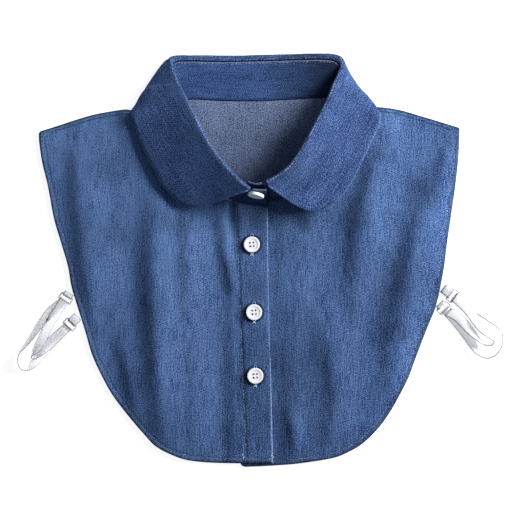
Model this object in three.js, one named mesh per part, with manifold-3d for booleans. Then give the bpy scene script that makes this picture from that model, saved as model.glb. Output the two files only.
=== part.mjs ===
import * as THREE from 'three';
import Module from 'manifold-3d';

const wasm = await Module();
wasm.setup();

// Detachable denim collar lying on its back. Millimetres, +X to the wearer's left hand side,
// +Y towards the collar, +Z up from the table.

// Cloth and trim thicknesses.
const BIB_CLOTH = 1.2;
const STAND_CLOTH = 1.8;
const LEAF_CLOTH = 1.6;
const ELASTIC_THICK = 1;
const ELASTIC_WIDTH = 8;
const PIECE_GAP = 0.4;

// How the layers of the bib lie over each other.
const COLLAR_LIFT = 2.05;
const FRONT_PUFF = 3.2;
const PUFF_REACH = 38;
const PLACKET_LAP = 1.7;
const UNDER_EDGE_X = -18.4;
// The placket rises over the edge of the right front between these two distances from it.
const LAP_START = 13;
const LAP_RUN = 11;
// Folds keep this share of their height at the hem and under the collar.
const FOLD_AT_HEM = 0.35;
const FOLD_UNDER_COLLAR = 0.4;
const HEM_EASE = 12;
const COLLAR_EASE_FROM = 20;
const COLLAR_EASE_RUN = 60;
// A fold starts and ends at this share of its full height's half wave, and swells quickly from there.
const FOLD_START = 0.07;
const FOLD_SWELL = 0.7;

// The part of the collar leaf that lies folded under the back bib, and how the bib rides up over it.
const UNDER_LEAF_LEFT = -103;
const UNDER_LEAF_RIGHT = 97.5;
const UNDER_LEAF_LOW = 106.5;
const LIFT_RUN = 18;
// At the shoulders the leaf wraps round from below, which lifts the bib a little more.
const WRAP_Y = 120;
const WRAP_LIFT = 1.6;
const WRAP_REACH = 9;

// Distance of the bib's neck edges from the middle of the stand.
const FRONT_NECK_GAP = 1.3;
const BACK_NECK_GAP = 0.5;
const BACK_NECK_CORNER_GAP = 1.5;

// Bend of the leaf over the stand: tight where the collar stands up, rounder where it lies at the back.
const FOLD_RADIUS_FRONT = 1.2;
const FOLD_RADIUS_BACK = 2.1;
const FOLD_FLAT_Z = 3;
const FOLD_UPRIGHT_Z = 12;
// The stand ends this far below the bend, and further down where the bend leans away from it.
const STAND_DROP = 1.1;
const STAND_DROP_LEAN = 9;

// Buttons and buttonholes of a 20 line shirt button.
const BUTTON_DIAMETER = 12.7;
const BUTTON_HEIGHT = 2.4;
const BUTTON_RIM = 1.5;
const BUTTON_DISH = 0.6;
const BUTTON_HOLE = 1.5;
const BUTTON_HOLE_SPACING = 2.8;
// The collar button sits near the top of the lapped stand end: share of the stand's height, and mm sideways.
const COLLAR_BUTTON_AT = 0.17;
const COLLAR_BUTTON_X = -1.6;
const BUTTONHOLE_LENGTH = 15;
const BUTTONHOLE_WIDTH = 0.8;

// Rectangular ring that joins the strap to its tab.
const RING_WIDTH = 11.6;
const RING_LENGTH = 6.4;
const RING_BAR = 1.2;
const RING_HEIGHT = 2;
const RING_BEND = 1.4;
const RING_CLEAR = 0.3;
// Height of a tab's ends at the edge of the bib, and half the distance between its two layers there.
const TAB_EDGE_Z = { front: 2.2, back: 1.9 };
const TAB_SPREAD = 0.65;
// The last end of the strap stops just past the bar of the ring on the back bib, on top of it.
const STRAP_END_PAST_BAR = 1.6;
const STRAP_END_LIFT = 1.4;

// Moves the middle of the footprint, straps included, onto the origin.
const FOOTPRINT_SHIFT = [0.6, -0.5];

const DENIM = 0x4b6794;
const DENIM_DARK = 0x3d5a8a;
const DENIM_WRONG_SIDE = 0x63728f;
const BUTTON_WHITE = 0xe6e6ea;
const ELASTIC_WHITE = 0xe4e4e6;
const RING_WHITE = 0xdcdce0;

// Collar sections, from the left front end over the left shoulder, round the back of the neck and over the
// right shoulder to the right front end. Columns: fold x y z, neck seam x y z, leaf middle x y z,
// leaf outer edge x y z. Rows that are only stand leave the leaf columns out.
const COLLAR_ROWS = [
  { fold: [4.2, 56.0, 34.2], seam: [4.8, 44.6, 7.2] },
  { fold: [-2.4, 56.0, 34.4], seam: [-2.4, 44.8, 7.2] },
  { fold: [-8.8, 56.8, 34.5], seam: [-10.4, 45.2, 7.2], mid: [-10.2, 55.6, 34.2], edge: [-11.6, 54.4, 33.2] },
  { fold: [-11.2, 58.8, 34.4], seam: [-14.4, 46.2, 7.2], mid: [-15.8, 55.8, 32.2], edge: [-20.0, 52.2, 28.0] },
  { fold: [-15.2, 62.0, 34.1], seam: [-20.0, 47.8, 7.1], mid: [-23.2, 55.4, 29.4], edge: [-30.4, 48.4, 21.5] },
  { fold: [-20.0, 66.4, 33.5], seam: [-28.0, 50.8, 6.6], mid: [-31.2, 56.4, 26.4], edge: [-41.6, 45.2, 15.5] },
  { fold: [-25.6, 72.4, 32.3], seam: [-36.0, 55.6, 6.1], mid: [-40.0, 58.4, 23.8], edge: [-53.6, 43.6, 11.5] },
  { fold: [-32.0, 80.0, 30.6], seam: [-45.2, 62.4, 5.9], mid: [-48.8, 64.4, 22.0], edge: [-65.2, 48.0, 10.0] },
  { fold: [-39.2, 90.0, 28.5], seam: [-54.0, 71.6, 5.7], mid: [-58.8, 76.0, 20.6], edge: [-77.6, 61.2, 9.5] },
  { fold: [-46.4, 102.8, 26.0], seam: [-61.6, 82.8, 5.5], mid: [-66.8, 90.0, 18.8], edge: [-86.0, 76.4, 9.0] },
  { fold: [-52.4, 114.8, 23.0], seam: [-66.4, 92.8, 5.2], mid: [-73.2, 103.0, 17.0], edge: [-92.8, 90.4, 8.4] },
  { fold: [-57.6, 125.4, 20.0], seam: [-69.6, 101.2, 5.0], mid: [-79.2, 116.4, 15.0], edge: [-99.2, 106.0, 7.8] },
  { fold: [-60.2, 130.2, 18.2], seam: [-70.8, 105.4, 4.9], mid: [-82.0, 124.0, 13.4], edge: [-101.8, 116.4, 8.0] },
  { fold: [-62.4, 134.4, 16.5], seam: [-71.6, 108.4, 4.8], mid: [-84.4, 130.4, 11.4], edge: [-103.0, 124.6, 5.2] },
  { fold: [-64.8, 139.0, 14.6], seam: [-72.0, 111.8, 4.6], mid: [-88.6, 135.2, 8.2], edge: [-104.0, 121.0, 1.9] },
  { fold: [-67.2, 143.6, 12.5], seam: [-72.0, 114.8, 4.4], mid: [-90.8, 138.0, 4.8], edge: [-101.0, 114.4, 0.9] },
  { fold: [-70.8, 154.0, 8.4], seam: [-71.2, 120.8, 3.9], mid: [-83.0, 150.4, 2.4], edge: [-94.4, 110.4, 0.8] },
  { fold: [-72.0, 160.8, 5.0], seam: [-69.2, 125.2, 3.4], mid: [-76.2, 155.0, 1.3], edge: [-88.0, 108.8, 0.8] },
  { fold: [-68.0, 163.2, 3.4], seam: [-65.6, 127.6, 3.0], mid: [-70.4, 148.0, 0.8], edge: [-78.4, 108.0, 0.8] },
  { fold: [-55.2, 163.4, 2.9], seam: [-54.4, 129.0, 2.9], mid: [-56.0, 146.0, 0.8], edge: [-58.4, 107.6, 0.8] },
  { fold: [-30.4, 163.0, 2.9], seam: [-30.4, 127.8, 2.9], mid: [-30.8, 146.0, 0.8], edge: [-31.2, 107.2, 0.8] },
  { fold: [-4.8, 163.4, 2.9], seam: [-4.8, 127.6, 2.9], mid: [-4.8, 146.0, 0.8], edge: [-4.8, 107.6, 0.8] },
  { fold: [23.2, 164.2, 2.9], seam: [22.4, 128.8, 2.9], mid: [23.2, 146.6, 0.8], edge: [23.2, 108.4, 0.8] },
  { fold: [45.6, 164.8, 2.9], seam: [44.0, 130.2, 2.9], mid: [46.4, 147.0, 0.8], edge: [47.2, 109.2, 0.8] },
  { fold: [56.8, 164.4, 3.0], seam: [56.0, 130.4, 3.0], mid: [59.2, 148.0, 0.8], edge: [63.2, 109.6, 0.8] },
  { fold: [62.8, 162.0, 3.8], seam: [62.0, 128.0, 3.2], mid: [66.8, 150.0, 0.9], edge: [73.6, 110.0, 0.8] },
  { fold: [64.8, 156.4, 6.2], seam: [64.8, 124.0, 3.6], mid: [71.4, 147.0, 1.7], edge: [82.4, 111.2, 0.8] },
  { fold: [61.2, 147.6, 11.0], seam: [66.4, 118.0, 4.2], mid: [79.2, 136.6, 4.6], edge: [94.6, 114.6, 0.9] },
  { fold: [59.0, 143.0, 13.2], seam: [66.9, 114.0, 4.5], mid: [80.6, 133.8, 8.0], edge: [98.8, 121.0, 1.9] },
  { fold: [56.8, 138.0, 15.5], seam: [66.8, 110.0, 4.8], mid: [77.6, 130.0, 11.2], edge: [98.0, 124.4, 5.2] },
  { fold: [54.6, 132.6, 17.6], seam: [66.2, 105.8, 4.9], mid: [75.6, 124.8, 13.0], edge: [96.0, 116.4, 8.0] },
  { fold: [52.0, 126.8, 19.5], seam: [65.2, 101.2, 5.0], mid: [73.2, 118.4, 14.6], edge: [92.8, 108.0, 7.8] },
  { fold: [46.8, 116.4, 22.5], seam: [61.6, 92.8, 5.2], mid: [67.2, 106.4, 16.8], edge: [86.0, 94.6, 8.4] },
  { fold: [41.2, 105.2, 25.5], seam: [56.8, 83.6, 5.5], mid: [60.8, 93.2, 18.8], edge: [78.8, 80.0, 9.0] },
  { fold: [34.8, 93.6, 28.0], seam: [50.0, 74.4, 5.7], mid: [53.6, 80.0, 20.4], edge: [71.2, 65.2, 9.5] },
  { fold: [28.8, 83.6, 30.0], seam: [42.8, 66.4, 5.7], mid: [45.6, 68.4, 21.8], edge: [62.0, 52.4, 10.0] },
  { fold: [23.2, 74.0, 31.8], seam: [34.8, 59.6, 5.6], mid: [37.2, 58.8, 23.6], edge: [51.2, 43.4, 11.5] },
  { fold: [18.4, 67.2, 33.0], seam: [26.4, 54.6, 5.6], mid: [28.6, 54.2, 26.2], edge: [38.8, 40.7, 15.5] },
  { fold: [13.6, 64.0, 33.6], seam: [18.8, 51.8, 5.6], mid: [20.0, 54.8, 29.4], edge: [26.4, 45.0, 21.5] },
  { fold: [8.0, 62.2, 34.0], seam: [11.2, 50.2, 5.6], mid: [11.4, 57.4, 32.4], edge: [14.8, 52.2, 28.4] },
  { fold: [3.0, 61.2, 34.2], seam: [3.6, 49.2, 5.6], mid: [4.6, 60.0, 34.0], edge: [5.8, 58.6, 33.0] },
  { fold: [-4.8, 60.8, 33.2], seam: [-4.8, 48.8, 5.6] },
  { fold: [-11.0, 62.6, 32.4], seam: [-13.2, 49.8, 5.6] },
];

// Outer edge of the front bib, x y, from the left shoulder point down the side and along the hem to the placket.
const LEFT_SIDE = [
  [-178.8, 103.2], [-178.4, 96.4], [-175.2, 78.8], [-170.4, 59.6], [-165.6, 34], [-160, 14.8], [-154.4, -4.4],
  [-151.6, -20.4], [-147.6, -34], [-140.8, -55.6], [-135.2, -74.8], [-128, -90.8], [-119.2, -106.8],
  [-107.2, -122.8], [-93.6, -138.8], [-84, -148.6], [-71.2, -155.4], [-58.4, -159.6], [-39.2, -161.6],
  [-16.8, -162], [9.6, -162],
];

// Placket edge of the left front, x y, from the hem up to the neck.
const PLACKET_EDGE = [[9.6, -162], [8, -95.6], [6.4, -41.2], [5.2, 43]];

// Edge of the right front, x y, from the neck down under the placket, along the hem and up the side.
const RIGHT_SIDE = [
  [-16.8, -164.6], [-2.4, -164.5], [12, -163.7], [31.2, -162], [56.8, -158], [69.6, -153.2], [82.4, -145.4],
  [95.2, -132.4], [104, -119.6], [111.2, -106.8], [117.6, -94], [122.4, -81.2], [127.2, -68.4], [132.8, -54],
  [139.2, -38], [143.2, -22], [146.4, -4.4], [148.8, 14.8], [152, 37.2], [155.2, 59.6], [157.6, 82],
  [158.4, 98], [158.6, 105],
];

// Shoulder folds, x y, from the outer point in to where they pass under the leaf.
const LEFT_SHOULDER = [
  [-177, 104.6], [-173.6, 105.2], [-160.8, 108.6], [-148, 112.4], [-135.2, 116.2], [-122.4, 118.8],
  [-109.6, 120.6], [-102, 120], [-88, 120.6], [-76, 121],
];
const RIGHT_SHOULDER = [
  [157.8, 106.2], [152.8, 107.8], [140, 111.8], [127.2, 115.6], [114.4, 119.4], [104, 120.4], [97, 119.2],
  [84, 120.4], [71, 119.8],
];

// Soft folds that run down the front bib. Columns: top x y, bottom x y, height, half width.
const FRONT_FOLDS = [
  [-82, 40, -88, -130, 3.0, 9],
  [-55, 42, -56, -60, 2.4, 8],
  [-70, -10, -70, -150, 1.6, 12],
  [-140, 60, -122, -70, 2.4, 10],
  [-30, 34, -16, -30, 1.4, 5],
  [100, 90, 77, -22, 3.0, 8],
  [150, 100, 130, 30, 2.2, 9],
  [130, 30, 104, -104, 3.2, 9],
  [58, -40, 62, -140, 2.2, 10],
  [26, -110, 30, -152, 1.2, 6],
];

// Upper opening of each buttonhole, x y of its button.
const FRONT_BUTTONS = {
  button_top: [-7.4, 12.8],
  button_middle: [-5.6, -41.2],
  button_bottom: [-4.6, -91.9],
};

// Strap paths from the ring on the back bib, out along the table, back to the ring on the front bib, over it,
// and home as a second layer. Columns: x, y, z, bearing of the width in degrees, tilt of the width in degrees.
const STRAPS = {
  left: {
    backRing: { at: [-152.8, -51.2], bearing: -43.8, tab: 6.3 },
    frontRing: { at: [-156, -30.2], bearing: -33, tab: 2.6 },
    outer: [
      [-160.8, -59, 0.6, -43, 0], [-168.8, -67.4, 0.7, -42, 0], [-176, -75.6, 1.2, -42, 8],
      [-182.6, -83.6, 3.2, -42, 45], [-187.6, -87.6, 4.8, -40, 80], [-192.4, -85.4, 5.2, -38, 90],
      [-194, -78.8, 5.2, -38, 90], [-192.4, -73, 5, -36, 80], [-189.2, -69, 4.8, -36, 70],
      [-183.2, -61.2, 4.4, -36, 58], [-174.4, -48.4, 3.2, -35, 38], [-167, -39.8, 1.6, -34, 10],
    ],
    inner: [
      [-163.4, -41.8, 3.9, -34, 0], [-168.2, -49.4, 4.4, -35, 0], [-173.6, -60.4, 4.8, -36, 8],
      [-178.4, -69.4, 5.4, -37, 30], [-182, -74.6, 6.4, -38, 70], [-183.2, -77.2, 6.6, -38, 88],
      [-181, -78.4, 6.6, -40, 88], [-177.4, -75.2, 6.2, -42, 60], [-170.4, -68, 3.9, -42, 15],
      [-163.4, -60.8, 3.3, -43, 0],
    ],
  },
  right: {
    backRing: { at: [146, -37.8], bearing: 225, tab: 2.3 },
    frontRing: { at: [153.2, -28], bearing: 232, tab: 7.2 },
    outer: [
      [152.2, -44.2, 0.6, 226, 0], [158.4, -51.6, 0.7, 226, 0], [165.6, -61.2, 1.2, 226, 8],
      [171.2, -70.4, 3.2, 226, 45], [175.2, -75.6, 4.8, 226, 80], [181.2, -78, 5.2, 226, 90],
      [186.8, -75.8, 5.2, 227, 90], [190.8, -71.2, 5.2, 228, 90], [192.6, -65.2, 5.2, 228, 90],
      [192.6, -58.8, 5.1, 229, 85], [189.8, -52.8, 4.8, 230, 72], [183.4, -46.2, 3.4, 231, 38],
      [174.4, -39.6, 1.6, 232, 10], [165, -34.8, 0.8, 232, 0],
    ],
    inner: [
      [163.6, -37.6, 3.9, 231, 0], [169.4, -45, 4.8, 230, 8], [175.2, -53.6, 5.6, 229, 40],
      [181.6, -60.6, 6.4, 228, 75], [185.8, -64.6, 6.6, 228, 90], [183.4, -67.6, 6.6, 227, 90],
      [178, -66.8, 6.6, 226, 85], [172.4, -61.6, 6.4, 226, 60], [165.2, -53.6, 4, 226, 15],
      [157.6, -45.6, 3.3, 225, 0],
    ],
  },
};

const vec = (p) => new THREE.Vector3(p[0], p[1], p[2]);

function smoothStep(t) {
  const u = Math.min(Math.max(t, 0), 1);
  return u * u * (3 - 2 * u);
}

// Distance in plan from a point to a polyline.
function distanceTo(line, x, y) {
  let best = Infinity;
  for (let i = 0; i + 1 < line.length; i += 1) {
    const [ax, ay] = line[i];
    const [bx, by] = line[i + 1];
    const along = ((x - ax) * (bx - ax) + (y - ay) * (by - ay)) / ((bx - ax) ** 2 + (by - ay) ** 2);
    const t = Math.min(Math.max(along, 0), 1);
    best = Math.min(best, Math.hypot(x - ax - t * (bx - ax), y - ay - t * (by - ay)));
  }
  return best;
}

const OUTER_EDGE = [
  ...LEFT_SHOULDER.slice().reverse(), ...LEFT_SIDE, ...RIGHT_SIDE.slice(3), ...RIGHT_SHOULDER,
];

// The back bib lies on the table and rises over the part of the leaf that is folded beneath it.
function backLift(x, y) {
  const outside = Math.max(UNDER_LEAF_LEFT - x, x - UNDER_LEAF_RIGHT, 0);
  const below = Math.max(UNDER_LEAF_LOW - y, 0);
  const ramp = smoothStep(1 - Math.hypot(outside, below) / LIFT_RUN);
  const leftWrap = Math.hypot(x - UNDER_LEAF_LEFT, y - WRAP_Y) / WRAP_REACH;
  const rightWrap = Math.hypot(x - UNDER_LEAF_RIGHT, y - WRAP_Y) / WRAP_REACH;
  const wrap = Math.exp(-(leftWrap ** 2)) + Math.exp(-(rightWrap ** 2));
  return COLLAR_LIFT * ramp + WRAP_LIFT * wrap;
}

function backMiddle(x, y) {
  return backLift(x, y) + BIB_CLOTH / 2;
}

// Height of one fold: a rounded ridge along its line, fading at both ends.
function foldHeight(fold, x, y) {
  const [ax, ay, bx, by, height, halfWidth] = fold;
  const along = ((x - ax) * (bx - ax) + (y - ay) * (by - ay)) / ((bx - ax) ** 2 + (by - ay) ** 2);
  const t = Math.min(Math.max(along, 0), 1);
  const away = Math.hypot(x - ax - t * (bx - ax), y - ay - t * (by - ay));
  const swell = Math.min(Math.max(along * (1 - 2 * FOLD_START) + FOLD_START, 0), 1);
  const fade = Math.sin(Math.PI * swell) ** FOLD_SWELL;
  return height * fade * Math.exp(-((away / halfWidth) ** 2));
}

// The front bib rests on the back bib along its edges and is puffed and folded inside them.
function frontMiddle(x, y) {
  const fromEdge = distanceTo(OUTER_EDGE, x, y);
  const folds = FRONT_FOLDS.reduce((sum, fold) => sum + foldHeight(fold, x, y), 0);
  const hemShare = FOLD_AT_HEM + (1 - FOLD_AT_HEM) * smoothStep(fromEdge / HEM_EASE);
  const nearCollar = smoothStep((y - COLLAR_EASE_FROM) / COLLAR_EASE_RUN);
  return backMiddle(x, y) + BIB_CLOTH + PIECE_GAP + FRONT_PUFF * smoothStep(fromEdge / PUFF_REACH)
    + folds * hemShare * (1 - (1 - FOLD_UNDER_COLLAR) * nearCollar);
}

// The left front is lifted by the placket where it laps over the right front.
function leftMiddle(x, y) {
  return frontMiddle(x, y) + PLACKET_LAP * smoothStep((x - UNDER_EDGE_X + LAP_START) / LAP_RUN);
}

function toManifold(positions, triangles) {
  const mesh = new wasm.Mesh({
    numProp: 3,
    vertProperties: new Float32Array(positions),
    triVerts: new Uint32Array(triangles),
  });
  return new wasm.Manifold(mesh);
}

function toGeometry(positions, triangles) {
  const geometry = new THREE.BufferGeometry();
  geometry.setAttribute('position', new THREE.Float32BufferAttribute(positions, 3));
  geometry.setIndex(Array.from(triangles));
  const flat = geometry.toNonIndexed();
  flat.computeVertexNormals();
  return flat;
}

function fromManifold(solid) {
  const mesh = solid.getMesh();
  return toGeometry(Array.from(mesh.vertProperties), mesh.triVerts);
}

// Joins equal corners of a three.js solid so that it can be cut.
function geometryToManifold(geometry) {
  const source = geometry.index ? geometry.toNonIndexed() : geometry;
  const position = source.getAttribute('position');
  const seen = new Map();
  const positions = [];
  const triangles = [];
  for (let i = 0; i < position.count; i += 1) {
    const corner = [position.getX(i), position.getY(i), position.getZ(i)];
    const key = corner.map((value) => Math.round(value * 1e4)).join(' ');
    if (!seen.has(key)) {
      seen.set(key, positions.length / 3);
      positions.push(...corner);
    }
    triangles.push(seen.get(key));
  }
  const kept = [];
  for (let i = 0; i < triangles.length; i += 3) {
    const [a, b, c] = triangles.slice(i, i + 3);
    if (a !== b && b !== c && c !== a) kept.push(a, b, c);
  }
  return toManifold(positions, kept);
}

// A thick sheet from rows of points on its middle surface.
function thickSheet(rows, thickness) {
  const rowCount = rows.length;
  const rowLength = rows[0].length;
  const positions = [];
  for (const side of [1, -1]) {
    for (let i = 0; i < rowCount; i += 1) {
      for (let j = 0; j < rowLength; j += 1) {
        const before = rows[Math.max(i - 1, 0)][j];
        const after = rows[Math.min(i + 1, rowCount - 1)][j];
        const left = rows[i][Math.max(j - 1, 0)];
        const right = rows[i][Math.min(j + 1, rowLength - 1)];
        const normal = after.clone().sub(before).cross(right.clone().sub(left)).normalize();
        const point = rows[i][j].clone().addScaledVector(normal, side * thickness / 2);
        positions.push(point.x, point.y, point.z);
      }
    }
  }
  const lower = rowCount * rowLength;
  const at = (i, j) => i * rowLength + j;
  const triangles = [];
  const quad = (a, b, c, d) => triangles.push(a, b, c, a, c, d);
  for (let i = 0; i + 1 < rowCount; i += 1) {
    for (let j = 0; j + 1 < rowLength; j += 1) {
      quad(at(i, j), at(i + 1, j), at(i + 1, j + 1), at(i, j + 1));
      quad(lower + at(i, j), lower + at(i, j + 1), lower + at(i + 1, j + 1), lower + at(i + 1, j));
    }
  }
  for (let i = 0; i + 1 < rowCount; i += 1) {
    quad(at(i, 0), lower + at(i, 0), lower + at(i + 1, 0), at(i + 1, 0));
    const end = rowLength - 1;
    quad(at(i, end), at(i + 1, end), lower + at(i + 1, end), lower + at(i, end));
  }
  for (let j = 0; j + 1 < rowLength; j += 1) {
    quad(at(0, j), at(0, j + 1), lower + at(0, j + 1), lower + at(0, j));
    const end = rowCount - 1;
    quad(at(end, j), lower + at(end, j), lower + at(end, j + 1), at(end, j + 1));
  }
  return { positions, triangles };
}

// A bib panel: a gridded sheet at the given heights, trimmed to its outline.
function bibPanel(outline, middle, stepX, stepY) {
  const margin = 3;
  const xs = outline.map((point) => point[0]);
  const ys = outline.map((point) => point[1]);
  const minX = Math.min(...xs) - margin;
  const maxX = Math.max(...xs) + margin;
  const minY = Math.min(...ys) - margin;
  const maxY = Math.max(...ys) + margin;
  const columns = Math.ceil((maxX - minX) / stepX);
  const lines = Math.ceil((maxY - minY) / stepY);
  const positions = [];
  for (const side of [1, -1]) {
    for (let i = 0; i <= columns; i += 1) {
      for (let j = 0; j <= lines; j += 1) {
        const x = minX + (maxX - minX) * i / columns;
        const y = minY + (maxY - minY) * j / lines;
        positions.push(x, y, middle(x, y) + side * BIB_CLOTH / 2);
      }
    }
  }
  const lower = (columns + 1) * (lines + 1);
  const at = (i, j) => i * (lines + 1) + j;
  const triangles = [];
  const quad = (a, b, c, d) => triangles.push(a, b, c, a, c, d);
  for (let i = 0; i < columns; i += 1) {
    for (let j = 0; j < lines; j += 1) {
      quad(at(i, j), at(i + 1, j), at(i + 1, j + 1), at(i, j + 1));
      quad(lower + at(i, j), lower + at(i, j + 1), lower + at(i + 1, j + 1), lower + at(i + 1, j));
    }
  }
  for (let i = 0; i < columns; i += 1) {
    quad(at(i, 0), lower + at(i, 0), lower + at(i + 1, 0), at(i + 1, 0));
    quad(at(i, lines), at(i + 1, lines), lower + at(i + 1, lines), lower + at(i, lines));
  }
  for (let j = 0; j < lines; j += 1) {
    quad(at(0, j), at(0, j + 1), lower + at(0, j + 1), lower + at(0, j));
    quad(at(columns, j), lower + at(columns, j), lower + at(columns, j + 1), at(columns, j + 1));
  }
  const shape = new THREE.Shape(outline.map((point) => new THREE.Vector2(point[0], point[1])));
  const trim = new THREE.ExtrudeGeometry(shape, { depth: 60, bevelEnabled: false, steps: 1 });
  trim.translate(0, 0, -20);
  return toManifold(positions, triangles).intersect(geometryToManifold(trim));
}

// Neck edge of the bib: the seam line moved square out from the stand, in plan.
function neckEdge(first, last, clearance) {
  const edge = [];
  for (let i = first; i <= last; i += 1) {
    const before = COLLAR_ROWS[i - 1].seam;
    const after = COLLAR_ROWS[i + 1].seam;
    const along = new THREE.Vector2(after[0] - before[0], after[1] - before[1]).normalize();
    const { seam } = COLLAR_ROWS[i];
    edge.push([seam[0] - along.y * clearance, seam[1] + along.x * clearance]);
  }
  return edge;
}

function offsetInward(line, centre, distance) {
  return line.map(([x, y]) => {
    const away = new THREE.Vector2(x - centre[0], y - centre[1]);
    const scale = 1 - distance / away.length();
    return [centre[0] + away.x * scale, centre[1] + away.y * scale];
  });
}

const FIRST_LEAF = COLLAR_ROWS.findIndex((row) => row.edge);
const LAST_LEAF = COLLAR_ROWS.findLastIndex((row) => row.edge);
// Collar rows at the two shoulder points of the neck.
const LEFT_NECK_POINT = 17;
const RIGHT_NECK_POINT = 26;

const leftOutline = [
  ...LEFT_SIDE,
  ...PLACKET_EDGE.slice(1),
  ...neckEdge(1, LEFT_NECK_POINT - 1, FRONT_NECK_GAP),
  ...LEFT_SHOULDER.slice().reverse(),
];
const rightOutline = [
  ...RIGHT_SIDE,
  ...RIGHT_SHOULDER,
  ...neckEdge(RIGHT_NECK_POINT + 1, COLLAR_ROWS.length - 2, FRONT_NECK_GAP),
  [UNDER_EDGE_X, 46.5],
];
// The back bib is cut a little smaller, so that it stays hidden under the front.
const BIB_CENTRE = [-10, -20];
const BACK_INSET = 0.8;
const backOutline = [
  ...offsetInward([...LEFT_SIDE.slice(0, -1), ...RIGHT_SIDE.slice(2)], BIB_CENTRE, BACK_INSET),
  ...offsetInward(RIGHT_SHOULDER, BIB_CENTRE, BACK_INSET),
  ...neckEdge(RIGHT_NECK_POINT - 1, RIGHT_NECK_POINT, -BACK_NECK_CORNER_GAP).reverse(),
  ...neckEdge(LEFT_NECK_POINT + 1, RIGHT_NECK_POINT - 2, -BACK_NECK_GAP).reverse(),
  ...neckEdge(LEFT_NECK_POINT - 1, LEFT_NECK_POINT, -BACK_NECK_CORNER_GAP).reverse(),
  ...offsetInward(LEFT_SHOULDER, BIB_CENTRE, BACK_INSET).reverse(),
];

// Buttonhole slits of the left front.
function buttonholeCutters() {
  return Object.values(FRONT_BUTTONS).map(([x, y]) => {
    const slit = new THREE.BoxGeometry(BUTTONHOLE_WIDTH, BUTTONHOLE_LENGTH, 30);
    slit.translate(x, y, 10);
    return geometryToManifold(slit);
  });
}

// Frame of a collar section at its fold: into the fold, and across from the stand to the leaf.
function foldFrame(row) {
  const fold = vec(row.fold);
  const toSeam = vec(row.seam).sub(fold).normalize();
  const toLeaf = (row.mid ? vec(row.mid) : vec(row.seam)).sub(fold).normalize();
  const into = toSeam.clone().add(toLeaf).normalize();
  const across = toLeaf.clone().sub(toSeam);
  if (across.length() < 1e-6) across.set(0, -1, 0.2);
  across.addScaledVector(into, -across.dot(into)).normalize();
  const pressed = smoothStep((FOLD_UPRIGHT_Z - fold.z) / (FOLD_UPRIGHT_Z - FOLD_FLAT_Z));
  const radius = FOLD_RADIUS_FRONT + (FOLD_RADIUS_BACK - FOLD_RADIUS_FRONT) * pressed;
  return { fold, into, across, radius };
}

// Middle line of the leaf in one section: round the fold, then out through its middle to its edge.
function leafLine(row) {
  const { fold, into, across, radius } = foldFrame(row);
  const centre = fold.clone().addScaledVector(into, radius);
  const line = [];
  for (const degrees of [-90, -55, -20, 20, 60]) {
    const angle = THREE.MathUtils.degToRad(degrees);
    line.push(centre.clone()
      .addScaledVector(into, -radius * Math.cos(angle))
      .addScaledVector(across, radius * Math.sin(angle)));
  }
  const start = line[line.length - 1];
  const sweep = new THREE.CatmullRomCurve3([start, vec(row.mid), vec(row.edge)], false, 'catmullrom', 0.6);
  for (let k = 1; k <= 5; k += 1) line.push(sweep.getPoint(k / 5));
  return line;
}

// Middle line of the stand in one section, from under the fold down to the neck seam.
function standLine(row) {
  const { fold, into, across, radius } = foldFrame(row);
  const seam = vec(row.seam);
  const toSeam = seam.clone().sub(fold).normalize();
  const clear = STAND_DROP + STAND_DROP_LEAN * (1 - into.dot(toSeam));
  const top = row.mid
    ? fold.clone().addScaledVector(into, radius).addScaledVector(across, -radius).addScaledVector(toSeam, clear)
    : fold;
  return [0, 0.33, 0.67, 1].map((t) => top.clone().lerp(seam, t));
}

// Points of a half turn of elastic round the bar of a ring, lower layer first.
function ringTurn(ring, lowerFirst) {
  const width = THREE.MathUtils.degToRad(ring.bearing);
  const away = ring.toward;
  const bar = [ring.at[0] + away[0] * ring.barOffset, ring.at[1] + away[1] * ring.barOffset];
  const radius = RING_BAR / 2 + RING_CLEAR + ELASTIC_THICK / 2;
  const angles = [-90, -45, 0, 45, 90].map((a) => (lowerFirst ? a : -a));
  return angles.map((degrees) => {
    const a = THREE.MathUtils.degToRad(degrees);
    return {
      at: new THREE.Vector3(
        bar[0] - away[0] * radius * Math.cos(a),
        bar[1] - away[1] * radius * Math.cos(a),
        RING_HEIGHT + radius * Math.sin(a),
      ),
      side: new THREE.Vector3(Math.cos(width), Math.sin(width), 0),
    };
  });
}

function tableRows(rows) {
  return rows.map(([x, y, z, bearing, tilt]) => {
    const b = THREE.MathUtils.degToRad(bearing);
    const t = THREE.MathUtils.degToRad(tilt);
    return {
      at: new THREE.Vector3(x, y, z),
      side: new THREE.Vector3(Math.cos(b) * Math.cos(t), Math.sin(b) * Math.cos(t), Math.sin(t)),
    };
  });
}

// A flat elastic band along a path, each row with its own width direction.
function elasticBand(path) {
  const half = ELASTIC_WIDTH / 2;
  const rows = path.map(({ at, side }) => [
    at.clone().addScaledVector(side, -half),
    at.clone().addScaledVector(side, half),
  ]);
  return thickSheet(rows, ELASTIC_THICK);
}

// Unit step in plan from a ring out along its strap: square to its width, away from the bib.
function strapward(ring, sign) {
  const b = THREE.MathUtils.degToRad(ring.bearing);
  return [Math.sin(b) * sign, -Math.cos(b) * sign];
}

const group = new THREE.Group();

function addPiece(name, geometry, colour, roughness) {
  const material = new THREE.MeshStandardMaterial({ color: colour, roughness });
  geometry.translate(FOOTPRINT_SHIFT[0], FOOTPRINT_SHIFT[1], 0);
  const mesh = new THREE.Mesh(geometry, material);
  mesh.name = name;
  group.add(mesh);
}

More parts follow.
